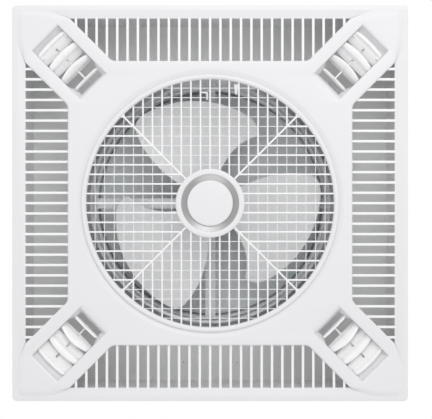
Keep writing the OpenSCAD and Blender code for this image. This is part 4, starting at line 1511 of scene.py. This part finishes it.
@dataclass
class LouverCorner:
    """One corner louver: a moulded well, four vanes on pins, and the bar that couples them."""

    lay: Layout
    number: int
    depth: float = 21.5
    first_pivot: float = 17.0
    pitch: float = 22.7
    pivot_z: float = 13.2
    reach: float = 10.7
    back_reach: tuple[float, ...] = (13.4, 14.5, 10.7, 10.7)
    bulges: tuple[float, ...] = (2.2, 3.2, 6.4, 2.6)
    rolls: tuple[float, ...] = (0.34, 0.62, 1.0, 1.0)
    spans: tuple[float, ...] = (54.0, 54.0, 54.0, 42.4)
    tilts: tuple[float, ...] = (14.0, 20.0, 45.0, 86.0)
    upper_tilt: float = 8.0
    end_from: float = 0.93
    end_run: float = 0.07
    end_tuck: float = 2.2
    rear_bow: float = 0.9
    crown: float = 2.3
    roll_from: float = 0.6
    roll_run: float = 0.4
    roll_h: float = 2.7
    roll_drop: float = 0.4
    over: float = 0.1
    under: float = 0.9
    lip: float = 0.35
    lip_from: float = 0.8
    lip_run: float = 0.2
    lap: float = 0.02
    pin_inset: float = 4.5
    slot_half: float = 1.5
    slot_end: float = 3.8
    crank: float = 8.0
    pin_r: float = 1.5
    crank_r: float = 1.2
    lug_r: float = 2.2
    lug_y: float = -2.2
    shell: float = 2.0
    edge: float = 0.6
    ear_half: float = 8.0
    ear_l: float = 9.0
    ear_low: float = 4.0
    ear_h: float = 2.0
    ear_bore: float = 1.4
    ramp_l: float = 8.5
    cheek_in: float = 5.8
    cheek_h: float = 12.0
    cheek_bow: float = 1.4
    cheek_runs: tuple[tuple[float, float], ...] = (
        (-1.6, 1.0), (14.0, 1.0), (18.0, 0.9), (22.0, 0.6), (25.5, 0.25), (28.5, 0.03)
    )
    cove_l: float = 10.0
    cove_h: float = 10.4

    @property
    def corner(self) -> Matrix:
        """The turn from the +X direction to this corner."""
        return Matrix.Rotation(math.radians(CORNER_DEG[self.number - 1]), 4, "Z")

    def tilt(self, place: int) -> float:
        """Give the resting angle of a vane in degrees; vane 0 is the outermost."""
        return self.tilts[place] + (self.upper_tilt if self.number <= 2 and place < 3 else 0.0)

    @property
    def well(self) -> Triple:
        """Inner end, outer end and half width of the well, along its arm."""
        return self.lay.well_start, self.lay.well_start + self.lay.well_len, self.lay.well_w / 2

    @property
    def seat_z(self) -> float:
        """Level at which the frame lies against the panel."""
        return self.lay.body_front + self.lay.wall

    def walls(self) -> Sculpt:
        """Make the four walls of the frame.

        Returns:
            The walls.
        """
        x0, x1, y = self.well
        low, high, t = self.seat_z, self.seat_z + self.depth, self.shell
        levels = (low, high - self.edge, high)
        outside = [box_loop(x0 - g, -y - g, x1 + g, y + g, g) for g in (t, t, t - self.edge)]
        inside = [box_loop(x0 - g, -y - g, x1 + g, y + g, 0.8) for g in (0.0, 0.0, self.edge)]
        return Sculpt().plate(list(zip(outside, levels)), [list(zip(inside, levels))])

    def ends(self) -> Sculpt:
        """Make the rolled ramp at the inner end and the cove at the outer end.

        Returns:
            The ramp and the cove.
        """
        x0, x1, y = self.well
        low, high, e = self.seat_z, self.seat_z + self.depth, self.edge
        foot = x0 + self.ramp_l
        steps = [self.ramp_l * i / 16 for i in range(17)]
        ramp = [(x0 + d, low - 0.2 + 0.8 * d + 0.2 * d * d) for d in steps]
        ramp += [(foot, high - 0.4), (foot - 0.4, high), (x0 - 1.0, high), (x0 - 1.6, high - e),
                 (x0 - 1.6, low)]
        quarter = [math.radians(90 * i / 20) for i in range(21)]
        cove = [(x1 - self.cove_l * (1 - math.cos(q)), low - e + self.cove_h * math.sin(q)) for q in quarter]
        foot = x1 - self.cove_l
        cove += [(foot, high - e), (foot + e, high), (x1 + 1.0, high), (x1 + 1.6, high - e), (x1 + 1.6, low),
                 (x1, low)]
        made = Sculpt()
        for profile in (ramp, cove):
            rows = [[Vector((px, s * (y - self.lap), pz)) for px, pz in profile] for s in (-1, 1)]
            made.joined(Sculpt().prism(rows))
        return made

    def ears(self) -> Sculpt:
        """Make the two screw ears.

        Returns:
            The ears.
        """
        x0, x1, _ = self.well
        low, e = self.seat_z + self.ear_low, 0.4
        high = low + self.ear_h
        made = Sculpt()
        for side, end in ((-1, x0 - self.shell), (1, x1 + self.shell)):
            near, far = sorted((end - side * 0.5, end + side * self.ear_l))
            ear = box_loop(near, -self.ear_half, far, self.ear_half, 2.4)
            small = grown(ear, -e)
            bore = shifted(circle(self.ear_bore, 20), end + side * self.ear_l / 2, 0.0)
            rings = [(small, low), (ear, low + e), (ear, high - e), (small, high)]
            made.joined(Sculpt().plate(rings, [[(bore, low), (bore, high)]]))
        return made

    def cheeks(self) -> Sculpt:
        """Make the sloping side walls round the innermost vane.

        Returns:
            The two cheeks.
        """
        made, (x0, _, y) = Sculpt(), self.well
        low = self.seat_z - 0.2
        high = low + self.depth - 0.4
        for side in (-1, 1):
            rows = []
            for along, share in self.cheek_runs:
                depth = self.cheek_in * share
                bow = [depth * (i / 8) ** self.cheek_bow for i in range(9)]
                slope = [(y - inward, low + self.cheek_h * i / 8) for i, inward in enumerate(bow)]
                outline = [(y + 0.5, low), *slope, (y - depth, high), (y + 0.5, high)]
                rows.append([Vector((x0 + along, side * py, pz)) for py, pz in outline])
            made.joined(Sculpt().prism(rows))
        return made

    def moulding(self) -> Sculpt:
        """Make the whole frame, with its arm along X."""
        return self.walls().joined(self.ends(), self.ears(), self.cheeks())

    def section(self, place: int, y: float, cut: float | None = None) -> list[Vector]:
        """Give one cross section of a vane, with a rolled front edge.

        Args:
            place: 0 for the outermost vane, 3 for the innermost.
            y: Its place along the vane.
            cut: Where the rear edge is, if the slot cuts it back.

        Returns:
            The closed section, front side first.
        """
        t = 2 * abs(y) / self.spans[place]
        rest = clamped((t - self.end_from) / self.end_run)
        tuck = self.end_tuck * (1 - math.sqrt(1 - rest * rest))
        front = self.reach - self.bulges[place] * t * t - tuck
        rear = -self.back_reach[place] + self.rear_bow * t * t + tuck
        low = rear if cut is None else cut
        upper, lower = [], []
        for i in range(33):
            x = low + (front - low) * (1 - math.cos(math.pi * i / 32)) / 2
            p = 1 - (front - x) / ((front - rear) * self.rolls[place])
            crest = self.crown * eased(clamped(p / 0.5))
            if p > self.roll_from:
                q = (p - self.roll_from) / self.roll_run
                crest = self.roll_h * math.sqrt(max(0.0, 1 - q * q)) - self.roll_drop
            thin = 0.5 if i == 0 else 1.0
            below = self.under - self.lip * max(0.0, (p - self.lip_from) / self.lip_run)
            upper.append(Vector((x, y, (-self.over - crest) * thin)))
            lower.append(Vector((x, y, below * thin)))
        return upper + lower[::-1]

    def vane(self, place: int) -> Sculpt:
        """Make a vane with its pins, lug and crank pin, at its resting angle.

        Args:
            place: 0 for the outermost vane, 3 for the innermost.

        Returns:
            The vane at its place in the panel.
        """
        half, cut = self.spans[place] / 2, self.slot_half
        runs = [cut + (half - cut) * math.sin(math.radians(90 * i / 14)) for i in range(15)]
        made = Sculpt()
        for s in (-1, 1):
            made.joined(Sculpt().loft([self.section(place, s * y) for y in runs]))
        middle = [-cut - self.lap + (2 * cut + 2 * self.lap) * i / 2 for i in range(3)]
        made.joined(Sculpt().loft([self.section(place, y, -self.slot_end) for y in middle]))
        made.moved(Matrix.Rotation(math.radians(self.tilt(place)), 4, "Y"))
        made.joined(self.pins(half), self.lug(), self.crank_pin())
        x = self.lay.well_start + self.first_pivot + (3 - place) * self.pitch
        return made.moved(self.corner @ Matrix.Translation((x, 0, self.pivot_z)))

    def pins(self, half: float) -> Sculpt:
        """Turn the two pins of a vane.

        Args:
            half: Half the vane's length.

        Returns:
            The pins.
        """
        r = self.pin_r
        profile = [(0.0, 0.0), (2.0, 0.0), (2.4, 0.4), (2.4, 3.6), (2.0, 4.0), (r, 4.0), (r, 6.5),
                   (r - 0.3, 6.8), (0.0, 6.8)]
        made = Sculpt()
        for s in (-1, 1):
            seat = Matrix.Translation((0, s * (half - self.pin_inset), 0))
            seat = seat @ Matrix.Rotation(-s * math.pi / 2, 4, "X")
            made.joined(Sculpt().lathe(profile, 32, closed=False).moved(seat))
        return made

    def lug(self) -> Sculpt:
        """Make the lug that carries the crank pin.

        Returns:
            The lug.
        """
        r = self.lug_r
        top = [turned((r, 0.0), 15 * i) for i in range(13)]
        loop = [(-r, 0.0), (r, 0.0)] + [(x, y + self.crank) for x, y in top]
        small = grown(loop, -0.3)
        made = Sculpt().plate([(small, 0.0), (loop, 0.3), (loop, 1.7), (small, 2.0)])
        seat = Matrix.Translation((0, self.lug_y, 0)) @ Matrix.Rotation(math.pi / 2, 4, "X")
        return made.moved(seat)

    def crank_pin(self) -> Sculpt:
        """Turn the crank pin that goes through the link bar.

        Returns:
            The pin.
        """
        r = self.crank_r
        made = Sculpt().lathe([(0.0, 0.0), (r, 0.0), (r, 4.1), (r - 0.3, 4.4), (0.0, 4.4)], 24, closed=False)
        seat = Matrix.Translation((0, self.lug_y, self.crank)) @ Matrix.Rotation(-math.pi / 2, 4, "X")
        return made.moved(seat)

    def build(self) -> None:
        """Build the frame, the four vanes and the coupling bar of this corner."""
        name = f"louver_frame_{self.number}"
        moulded = self.moulding().moved(self.corner)
        well = moulded.finish(f"moulded_well_{self.number}", Palette.PANEL)
        settle(well, "housing", Palette.PANEL, (name,))
        for place, letter in enumerate("abcd"):
            node = f"vane_{self.number}{letter}"
            piece = self.vane(place).finish(f"louver_{self.number}{letter}", Palette.VANE)
            settle(piece, node, Palette.VANE, (node,))
        softened(f"link_bar_{self.number}", Palette.LINK, 0.5, body=f"link_{self.number}")


@dataclass
class Rotor:
    """The three-bladed fan with its hub nut, and the turning parts of the motor."""

    blade_r: float = 173.022
    blade_in: float = 24.0
    start: float = 8.5
    level: float = 84.0
    arc: float = 75.0
    spread: float = 6.0
    sweep: float = 16.0
    slope: float = 27.0
    rounding: float = 16.0
    squareness: int = 12
    lead_share: float = 0.75
    pitch_root: float = 28.0
    pitch_loss: float = 19.0
    camber: float = 3.0
    thick: float = 2.4
    edge: float = 0.4
    edge_share: float = 0.4
    edge_from: float = 0.9999
    last_row: float = 0.9985
    smooth_deg: float = 50.0
    hub_r: float = 32.0
    hub_h: float = 24.0
    shaft_r: float = 4.0
    pocket_r: float = 10.0
    nut_r: float = 12.0
    nut_h: float = 12.0
    grip_count: int = 18
    grip_w: float = 1.6
    grip_h: float = 5.4
    grip_in: float = 1.7
    grip_low: float = 4.2
    grip_edge: float = 0.4

    def point(self, u: float, v: float, side: float) -> Vector:
        """Give a point of a blade's skin.

        Args:
            u: Share of the way from root to tip.
            v: Place from the leading edge, -1, to the trailing edge, 1.
            side: 1 for the far side, -1 for the near side, and less for a rounded edge.

        Returns:
            The point, before the blade is turned into place.
        """
        tip = self.blade_r - self.slope * (v + self.lead_share) / (1 + self.lead_share)
        tip -= self.rounding * abs(v) ** self.squareness
        r = self.blade_in + (tip - self.blade_in) * u
        half_arc = math.radians(self.arc + self.spread * u * u) / 2
        q = math.radians(self.sweep) * u * u + half_arc * v
        pitch = math.radians(self.pitch_root - self.pitch_loss * (1 - (1 - u) ** 2))
        half = self.edge + (self.thick / 2 - self.edge) * (1 - v * v)
        rise = self.camber * (1 - v * v) + side * half
        return Vector((r * math.cos(q), r * math.sin(q), r * half_arc * v * math.tan(pitch) + rise))

    def blades(self, rows: int = 30, cols: int = 40) -> Sculpt:
        """Skin the three blades.

        Args:
            rows: Steps from root to tip.
            cols: Steps from edge to edge.

        Returns:
            The blades.
        """
        shares = [math.sin(math.radians(90 * i / rows)) for i in range(rows)] + [self.last_row, 1.0]
        chord = [math.sin(math.radians(180 * j / cols - 90)) for j in range(cols + 1)]
        made = Sculpt()
        for k in range(3):
            skins = []
            for n, u in enumerate(shares):
                tip = n == len(shares) - 1
                ends = [self.edge_share if tip or abs(v) > self.edge_from else 1.0 for v in chord]
                near = [self.point(u, v, -e) for v, e in zip(chord, ends)]
                far = [self.point(u, v, e) for v, e in zip(chord, ends)]
                skins.append(near + far[::-1])
            turn = Matrix.Rotation(math.radians(self.start + 120 * k), 4, "Z")
            made.joined(Sculpt().loft(skins).moved(turn @ Matrix.Translation((0, 0, self.level))))
        return made

    def hub(self) -> Sculpt:
        """Turn the boss that the blades grow from.

        Returns:
            The boss.
        """
        r, s, a = self.hub_r, self.shaft_r, self.pocket_r
        low, high = self.level - self.hub_h / 2, self.level + self.hub_h / 2
        profile = [(s, low + 0.4), (s + 0.4, low), (r - 6.0, low), (r - 3.0, low + 0.6), (r - 0.9, low + 2.2),
                   (r, low + 5.0), (r, high - 1.0), (r - 1.0, high), (a + 1.0, high), (a, high - 1.0),
                   (a, high - 3.0), (s, high - 3.0)]
        return Sculpt().lathe(profile, 96)

    def nut(self) -> bpy.types.Object:
        """Turn the nut that holds the fan, and grow its grip ribs.

        Returns:
            The nut.
        """
        r, high = self.nut_r, self.level - self.hub_h / 2
        low = high - self.nut_h
        profile = [(0.0, low), (r - 6.2, low), (r - 5.0, low + 0.5), (r - 1.6, low + 3.2),
                   (r - 1.0, low + 4.2), (r - 1.0, high - 1.0), (r - 0.4, high - 0.8), (r - 0.4, high),
                   (0.0, high)]
        cone = Sculpt().lathe(profile, 72, closed=False).finish("nut_cone", Palette.BLACK)
        sizes = {
            "Radius": r - self.grip_in,
            "Height": self.grip_h,
            "Level": high - self.grip_low,
            "Rib": self.grip_w,
        }
        net = Net("grip_ribs", sizes)
        rib = net.bar(net.size("Rib"), net.size("Height"), self.grip_edge * MM)
        one = net.stretched(net.seat(net.size("Radius"), net.size("Level")), rib, net.size("Rib"))
        net.close(net.wheel(one, self.grip_count))
        return as_one("hub_nut", [cone, net.grow("grip_ribs", Palette.BLACK)])

    def build(self) -> None:
        """Build the fan and dress the parts that turn with it."""
        fan = self.blades().joined(self.hub()).finish("paddle_fan", Palette.BLADE, self.smooth_deg)
        settle(fan, "rotor", Palette.BLADE, ("fan_blade",))
        settle(self.nut(), "rotor", Palette.BLACK, ("spinner_nut",))
        dressed("rotor_core", Palette.CORE)
        dressed("motor_shaft", Palette.BRIGHT)
        dressed("blade_pin", Palette.BRIGHT)


@dataclass
class MotorUnit:
    """The motor above the fan: its mount, finned shells, core, windings and bearings."""

    radius: float = 48.0
    fin_count: int = 36
    fin_low: float = 136.0
    fin_high: float = 151.5
    fin_out: float = 1.6
    fin_in: float = 1.0
    fin_w: float = 1.3
    fin_edge: float = 0.4
    bolt_circle: float = 40.0
    bolt_r: float = 3.0
    bolt_share: float = 0.55
    back: float = 156.0

    def fins(self) -> bpy.types.Object:
        """Grow the cooling fins round the rear shell, and the heads of its through bolts.

        Returns:
            The fins and heads.
        """
        sizes = {
            "Radius": self.radius,
            "Out": self.fin_out,
            "Height": self.fin_high - self.fin_low,
            "Middle": (self.fin_high + self.fin_low) / 2,
            "Thick": self.fin_w,
            "Bolt circle": self.bolt_circle,
            "Bolt": self.bolt_r,
            "Back": self.back - 0.2,
        }
        net = Net("cooling_fins", sizes)
        fin = net.bar(net.size("Thick"), net.size("Height"), self.fin_edge * MM)
        foot = net.seat(net.minus(net.size("Radius"), self.fin_in * MM), net.size("Middle"))
        one = net.stretched(foot, fin, net.plus(net.size("Out"), self.fin_in * MM))
        head = net.dot(net.size("Bolt"), net.times(net.size("Bolt"), self.bolt_share))
        bolt = net.copies(net.seat(net.size("Bolt circle"), net.size("Back")), head)
        net.close(net.join(net.wheel(one, self.fin_count), net.wheel(bolt, 4, 45.0)))
        return net.grow("cooling_fins", Palette.MOTOR)

    def build(self) -> None:
        """Build the fins and finish every motor part that stays put."""
        softened("motor_mount", Palette.DUCT, 0.5)
        for node in ("motor_front_shell", "motor_rear_shell"):
            softened(node, Palette.MOTOR, 1.2)
        settle(self.fins(), "housing", Palette.MOTOR)
        dressed("stator_core", Palette.CORE)
        dressed("windings", Palette.COPPER)
        dressed("front_bearing", Palette.BRIGHT)
        dressed("rear_bearing", Palette.BRIGHT)


@dataclass
class Housing:
    """The sheet box in the ceiling with its gasket, duct, flange and hanger brackets."""

    half: float = 281.0
    roof: float = 110.0
    sink: float = 0.2
    seam_in: float = 9.0
    rivet_count: int = 4
    rivet_low: float = 28.0
    rivet_step: float = 22.0
    rivet_r: float = 2.4
    rib_start: float = 212.0
    rib_l: float = 72.0
    rib_w: float = 6.0
    rib_edge: float = 1.4
    spigot_r: float = 176.622
    ring_levels: tuple[float, ...] = (137.0, 151.0)
    ring_out: float = 1.7
    ring_half: float = 2.4

    def details(self) -> bpy.types.Object:
        """Grow the rivets of the corner seams and the pressed ribs of the roof.

        Returns:
            The rivets and ribs.
        """
        sizes = {
            "Half": self.half - self.sink,
            "Seam": self.half - self.seam_in,
            "Low": self.rivet_low,
            "Step": self.rivet_step,
            "Rivet": self.rivet_r,
            "Rib start": self.rib_start,
            "Rib length": self.rib_l,
            "Rib width": self.rib_w,
            "Roof": self.roof - self.sink,
        }
        net = Net("box_details", sizes)
        head = net.dot(net.size("Rivet"), net.times(net.size("Rivet"), 0.5))
        rows = []
        for side in (-1.0, 1.0):
            low = net.vector(net.size("Half"), net.times(net.size("Seam"), side), net.size("Low"))
            line = net.line(self.rivet_count, low, net.vector(0.0, 0.0, net.size("Step")))
            rows.append(net.copies(line, head, turn=(0.0, math.pi / 2, 0.0)))
        rib = net.bar(net.size("Rib width"), net.times(net.size("Rib width"), 0.5), self.rib_edge * MM)
        foot = net.seat(net.size("Rib start"), net.size("Roof"))
        ribs = net.stretched(foot, rib, net.size("Rib length"))
        net.close(net.join(net.wheel(net.join(*rows), 4), net.wheel(ribs, 4, 45.0)))
        return net.grow("box_details", Palette.SHEET)

    def rings(self) -> Sculpt:
        """Turn the raised rings of the outlet spigot.

        Returns:
            The rings.
        """
        made, r = Sculpt(), self.spigot_r
        turns = [math.pi * i / 8 for i in range(9)]
        for z in self.ring_levels:
            foot = [(r - 0.6, z + 2.2), (r - 0.6, z - 2.2)]
            arc = [(r - 0.3 + self.ring_out * math.sin(q), z - self.ring_half * math.cos(q)) for q in turns]
            made.joined(Sculpt().lathe(foot + arc, 128))
        return made

    def build(self) -> None:
        """Build the box, the duct and what holds them."""
        softened("back_box", Palette.SHEET, 0.4)
        settle(self.details(), "housing", Palette.SHEET)
        softened("fan_duct", Palette.DUCT, 0.35)
        settle(self.rings().finish("spigot_rings", Palette.DUCT), "housing", Palette.DUCT)
        softened("duct_flange", Palette.DUCT, 0.35)
        softened("hanger_brackets", Palette.SHEET, 0.6)
        dressed("box_gasket", Palette.FOAM)


@dataclass
class Damper:
    """The two half-disc flaps in the spigot on their rod."""

    level: float = 163.0
    rib_count: int = 3
    rib_pitch: float = 84.0
    rib_start: float = 14.0
    rib_length: float = 118.0
    rib_w: float = 4.0
    rib_share: float = 0.4
    rib_edge: float = 0.8

    def ribs(self, side: int) -> bpy.types.Object:
        """Grow the stiffening ribs of one flap.

        Args:
            side: 1 for the flap on the +Y side, -1 for the other.

        Returns:
            The ribs.
        """
        sizes = {
            "Start": self.rib_start,
            "Length": self.rib_length,
            "Pitch": self.rib_pitch,
            "Width": self.rib_w,
            "Level": self.level + 0.1,
        }
        net = Net(f"flap_ribs_{side}", sizes)
        rib = net.bar(
            net.size("Width"), net.times(net.size("Width"), self.rib_share), self.rib_edge * MM
        )
        row = net.row((self.rib_count - 1) / 2, net.size("Pitch"))
        _, y, _ = net.place()
        points = net.moved(row, net.vector(net.size("Start"), y, net.size("Level")))
        one = net.stretched(points, rib, net.size("Length"))
        net.close(net.wheel(one, 1, 90.0 * side))
        return net.grow(f"flap_ribs_{side}", Palette.DUCT)

    def build(self) -> None:
        """Build both flaps with their ribs, and dress the rod."""
        for number, side in ((1, 1), (2, -1)):
            softened(f"damper_flap_{number}", Palette.DUCT, 0.2, body=f"flap_{number}")
            ribs = self.ribs(side)
            ribs.name = f"stiffeners_{number}"
            settle(ribs, f"flap_{number}", Palette.DUCT)
        dressed("damper_rod", Palette.BRIGHT)


@dataclass
class ControlUnit:
    """The wiring box on the roof, what is in it, and the lead to the motor."""

    block_y: tuple[float, float] = (225.4, 230.7)
    block_top: float = 125.2
    pitch: float = 9.0
    clamp_count: int = 3
    clamp_r: float = 2.1
    clamp_h: float = 2.4
    clamp_sink: float = 2.0
    slot: Triple = (6.0, 0.7, 1.0)

    def terminals(self) -> bpy.types.Object:
        """Grow the slotted clamp screws of the terminal block.

        Returns:
            The screws.
        """
        sizes = {
            "Near": self.block_y[0],
            "Far": self.block_y[1],
            "Top": self.block_top - self.clamp_sink,
            "Pitch": self.pitch,
            "Radius": self.clamp_r,
        }
        net = Net("clamp_screws", sizes)
        disc = {"Vertices": 20, "Radius": net.size("Radius"), "Depth": self.clamp_h * MM}
        head = net.put("GeometryNodeMeshCylinder", disc).outputs[0]
        block = net.put("GeometryNodeMeshCube", {"Size": [s * MM for s in self.slot]}).outputs[0]
        slotted = net.cut(head, net.raised(block, self.clamp_h / 2 * MM))
        rows = []
        for side in ("Near", "Far"):
            first = net.vector(net.times(net.size("Pitch"), -1.0), net.size(side), net.size("Top"))
            line = net.line(self.clamp_count, first, net.vector(net.size("Pitch"), 0.0, 0.0))
            rows.append(net.copies(line, slotted))
        net.close(net.join(*rows))
        return net.grow("clamp_screws", Palette.ZINC)

    def build(self) -> None:
        """Build the box and its contents."""
        for node, finish, width in (
            ("control_box", Palette.SHEET, 0.35),
            ("control_lid", Palette.SHEET, 0.5),
            ("capacitor", Palette.CASE, 2.0),
            ("terminal_block", Palette.TERMINAL, 0.6),
            ("cable_gland", Palette.BLACK, 0.6),
        ):
            softened(node, finish, width)
        settle(self.terminals(), "housing", Palette.ZINC)
        dressed("lead_grommets", Palette.RUBBER)
        dressed("lead_clips", Palette.BLACK)
        dressed("motor_lead", Palette.BLACK)


@dataclass(frozen=True)
class Seat:
    """Where one screw sits: under its head, the way out of its head, and its shank's length."""

    place: Vector
    aim: Vector
    reach: float


@dataclass
class Fasteners:
    """Every screw, grown with a pan head and a cross recess where the CAD has one."""

    nodes: tuple[str, ...] = ("panel_screws", "duct_screws", "motor_screws", "roof_screws")
    head_r: float = 2.8
    head_h: float = 1.6
    shank_r: float = 1.4
    slot_w: float = 0.7
    slot_share: float = 1.15
    top_share: float = 0.66

    def seats(self, node: str) -> list[Seat]:
        """Find the screws of a CAD node.

        Args:
            node: The node.

        Returns:
            The seat of every screw in it.
        """
        work = bmesh.new()
        work.from_mesh(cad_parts[node].data)
        bmesh.ops.remove_doubles(work, verts=work.verts, dist=CAD_MERGE)
        done, found = set(), []
        for first in work.verts:
            if first in done:
                continue
            done.add(first)
            stack, part = [first], []
            while stack:
                vert = stack.pop()
                part.append(vert.co / MM)
                others = [edge.other_vert(vert) for edge in vert.link_edges]
                fresh = [other for other in others if other not in done]
                done.update(fresh)
                stack.extend(fresh)
            found.append(self.seat(part))
        work.free()
        return found

    def seat(self, part: list[Vector]) -> Seat:
        """Read one screw from its points.

        Args:
            part: The points of the screw.

        Returns:
            Its seat.
        """
        low = Vector([min(p[i] for p in part) for i in range(3)])
        high = Vector([max(p[i] for p in part) for i in range(3)])
        middle, best = (low + high) / 2, None
        for axis in range(3):
            flat = [(p - middle) * Vector([float(i != axis) for i in range(3)]) for p in part]
            spans = [v.length for v in flat]
            kinds = len({round(r, 1) for r in spans})
            if best is None or kinds < best[0]:
                best = (kinds, axis, spans)
        _, axis, spans = best
        head = [p[axis] for p, r in zip(part, spans) if r > (self.head_r + self.shank_r) / 2]
        outward = 1.0 if high[axis] - max(head) < min(head) - low[axis] else -1.0
        base, far = (min(head), low[axis]) if outward > 0 else (max(head), high[axis])
        place = middle.copy()
        place[axis] = base
        return Seat(place, Vector([outward * (i == axis) for i in range(3)]), abs(base - far))

    def tree(self) -> Net:
        """Make the tree that puts a screw on every seat.

        Returns:
            The tree.
        """
        sizes = {"Head": self.head_r, "Height": self.head_h, "Shank": self.shank_r, "Slot": self.slot_w}
        net = Net("pan_screws", sizes)
        high = net.size("Height")
        pan = {
            "Vertices": 24,
            "Radius Top": net.times(net.size("Head"), self.top_share),
            "Radius Bottom": net.size("Head"),
            "Depth": high,
        }
        head = net.put("GeometryNodeMeshCone", pan).outputs[0]
        long = net.times(net.size("Head"), self.slot_share)
        for x, y in ((long, net.size("Slot")), (net.size("Slot"), long)):
            arm = net.put("GeometryNodeMeshCube", {"Size": net.vector(x, y, high)}).outputs[0]
            head = net.cut(head, net.raised(arm, high))
        shank = {"Vertices": 20, "Radius": net.size("Shank"), "Depth": 1.0}
        rod = net.raised(net.put("GeometryNodeMeshCylinder", shank).outputs[0], -0.5)
        aim = net.put(
            "FunctionNodeAlignRotationToVector", {"Vector": net.given("aim", "FLOAT_VECTOR")}, axis="Z"
        ).outputs[0]
        seats = net.size("Seats")
        heads = net.copies(seats, head, turn=aim)
        reach = net.vector(1.0, 1.0, net.given("reach"))
        net.close(net.join(heads, net.copies(seats, rod, reach, aim)))
        return net

    def points(self, node: str, seats: list[Seat]) -> bpy.types.Mesh:
        """Write seats as points that carry their aim and reach.

        Args:
            node: The CAD node that they are of.
            seats: The seats.

        Returns:
            The mesh of points.
        """
        mesh = bpy.data.meshes.new(node)
        mesh.from_pydata([s.place * MM for s in seats], [], [])
        aims = mesh.attributes.new("aim", "FLOAT_VECTOR", "POINT")
        aims.data.foreach_set("vector", [c for s in seats for c in s.aim])
        reaches = mesh.attributes.new("reach", "FLOAT", "POINT")
        reaches.data.foreach_set("value", [s.reach * MM for s in seats])
        return mesh

    def build(self) -> None:
        """Grow the screws of every node that holds some."""
        net = self.tree()
        for node in self.nodes:
            seats = self.seats(node)
            piece = net.grow(f"cross_head_{node}", Palette.ZINC, self.points(node, seats))
            settle(piece, "housing", Palette.ZINC, (node,))
            LOG.info("%s: %d screws", node, len(seats))


@dataclass(frozen=True)
class Lamp:
    """A square soft light that shines at the fan, in metres and watts."""

    name: str
    place: Triple
    size: float
    power: float

    def hang(self) -> None:
        """Put the light in the room, out of the camera's sight."""
        data = bpy.data.lights.new(self.name, "AREA")
        data.shape, data.size, data.energy = "SQUARE", self.size, self.power
        lamp = shown(self.name, data)
        lamp.location = self.place
        lamp.rotation_euler = (-Vector(self.place)).to_track_quat("-Z", "Y").to_euler()
        lamp.visible_camera = False


@dataclass
class Studio:
    """The room: a white surround, two soft lights, a pale floor and the camera."""

    ceiling_height: float = 2800.0
    floor_half: float = 9000.0
    floor_thick: float = 20.0
    image: tuple[int, int] = (432, 419)
    pixel: float = 1.5013
    centre: tuple[float, float] = (210.1, 203.15)
    lens: float = 100.0
    sensor: float = 36.0
    ambient: float = 0.99
    lamps: tuple[Lamp, ...] = (
        Lamp("key_light", (0.25, -1.0, -1.5), 1.0, 8.5),
        Lamp("top_light", (-0.9, 0.8, 2.3), 1.8, 3.0),
    )

    def world(self) -> None:
        """Give a white surround to camera, gloss and glass, and a plain ambient level."""
        world = bpy.data.worlds.new("studio")
        bpy.context.scene.world = world
        world.use_nodes = True
        graph = Graph(world.node_tree)
        ray = graph.put("ShaderNodeLightPath").outputs
        seen = graph.math("MAXIMUM", ray["Is Camera Ray"], ray["Is Glossy Ray"])
        clear = graph.math("MAXIMUM", seen, ray["Is Transmission Ray"])
        inputs = {"Value": clear, "To Min": self.ambient, "To Max": 1.0}
        back = graph.tree.nodes["Background"]
        graph.feed(back, "Strength", graph.put("ShaderNodeMapRange", inputs).outputs["Result"])
        graph.feed(back, "Color", (1.0, 1.0, 1.0, 1.0))

    def floor(self) -> None:
        """Lay a pale floor a room's height below the ceiling."""
        far, top = self.floor_half, -self.ceiling_height
        loop = box_loop(-far, -far, far, far, 50.0)
        floor = Sculpt().plate([(loop, top), (loop, top - self.floor_thick)])
        floor.finish("room_floor", Palette.FLOOR)

    def camera(self) -> None:
        """Place the camera below the fan, square to it, as far off as the photograph's frame asks."""
        data = bpy.data.cameras.new("camera")
        data.lens, data.sensor_width = self.lens, self.sensor
        width = self.image[0] * self.pixel
        camera = shown("camera", data)
        right = (self.image[0] / 2 - self.centre[0]) * self.pixel
        down = (self.image[1] / 2 - self.centre[1]) * self.pixel
        back = width * self.lens / self.sensor - Layout.rim_front
        camera.location = (right * MM, down * MM, -back * MM)
        camera.rotation_euler = (math.pi, 0.0, 0.0)
        bpy.context.scene.camera = camera

    def build(self) -> None:
        """Set the room up."""
        bpy.context.scene.view_settings.view_transform = "Standard"
        self.world()
        for lamp in self.lamps:
            lamp.hang()
        self.floor()
        self.camera()


def main() -> None:
    """Build the room and every sub-assembly of the fan, in order."""
    logging.basicConfig(level=logging.INFO, format="%(name)s: %(message)s")
    Studio().build()
    lay = Layout.of_frame()
    front = [Panel(lay), Grille(lay), *[LouverCorner(lay, number) for number in range(1, 5)]]
    behind = [Rotor(), MotorUnit(), Housing(), Damper(), ControlUnit(), Fasteners()]
    for assembly in front + behind:
        LOG.info("building %s", type(assembly).__name__)
        assembly.build()


if __name__ == "__main__":
    main()
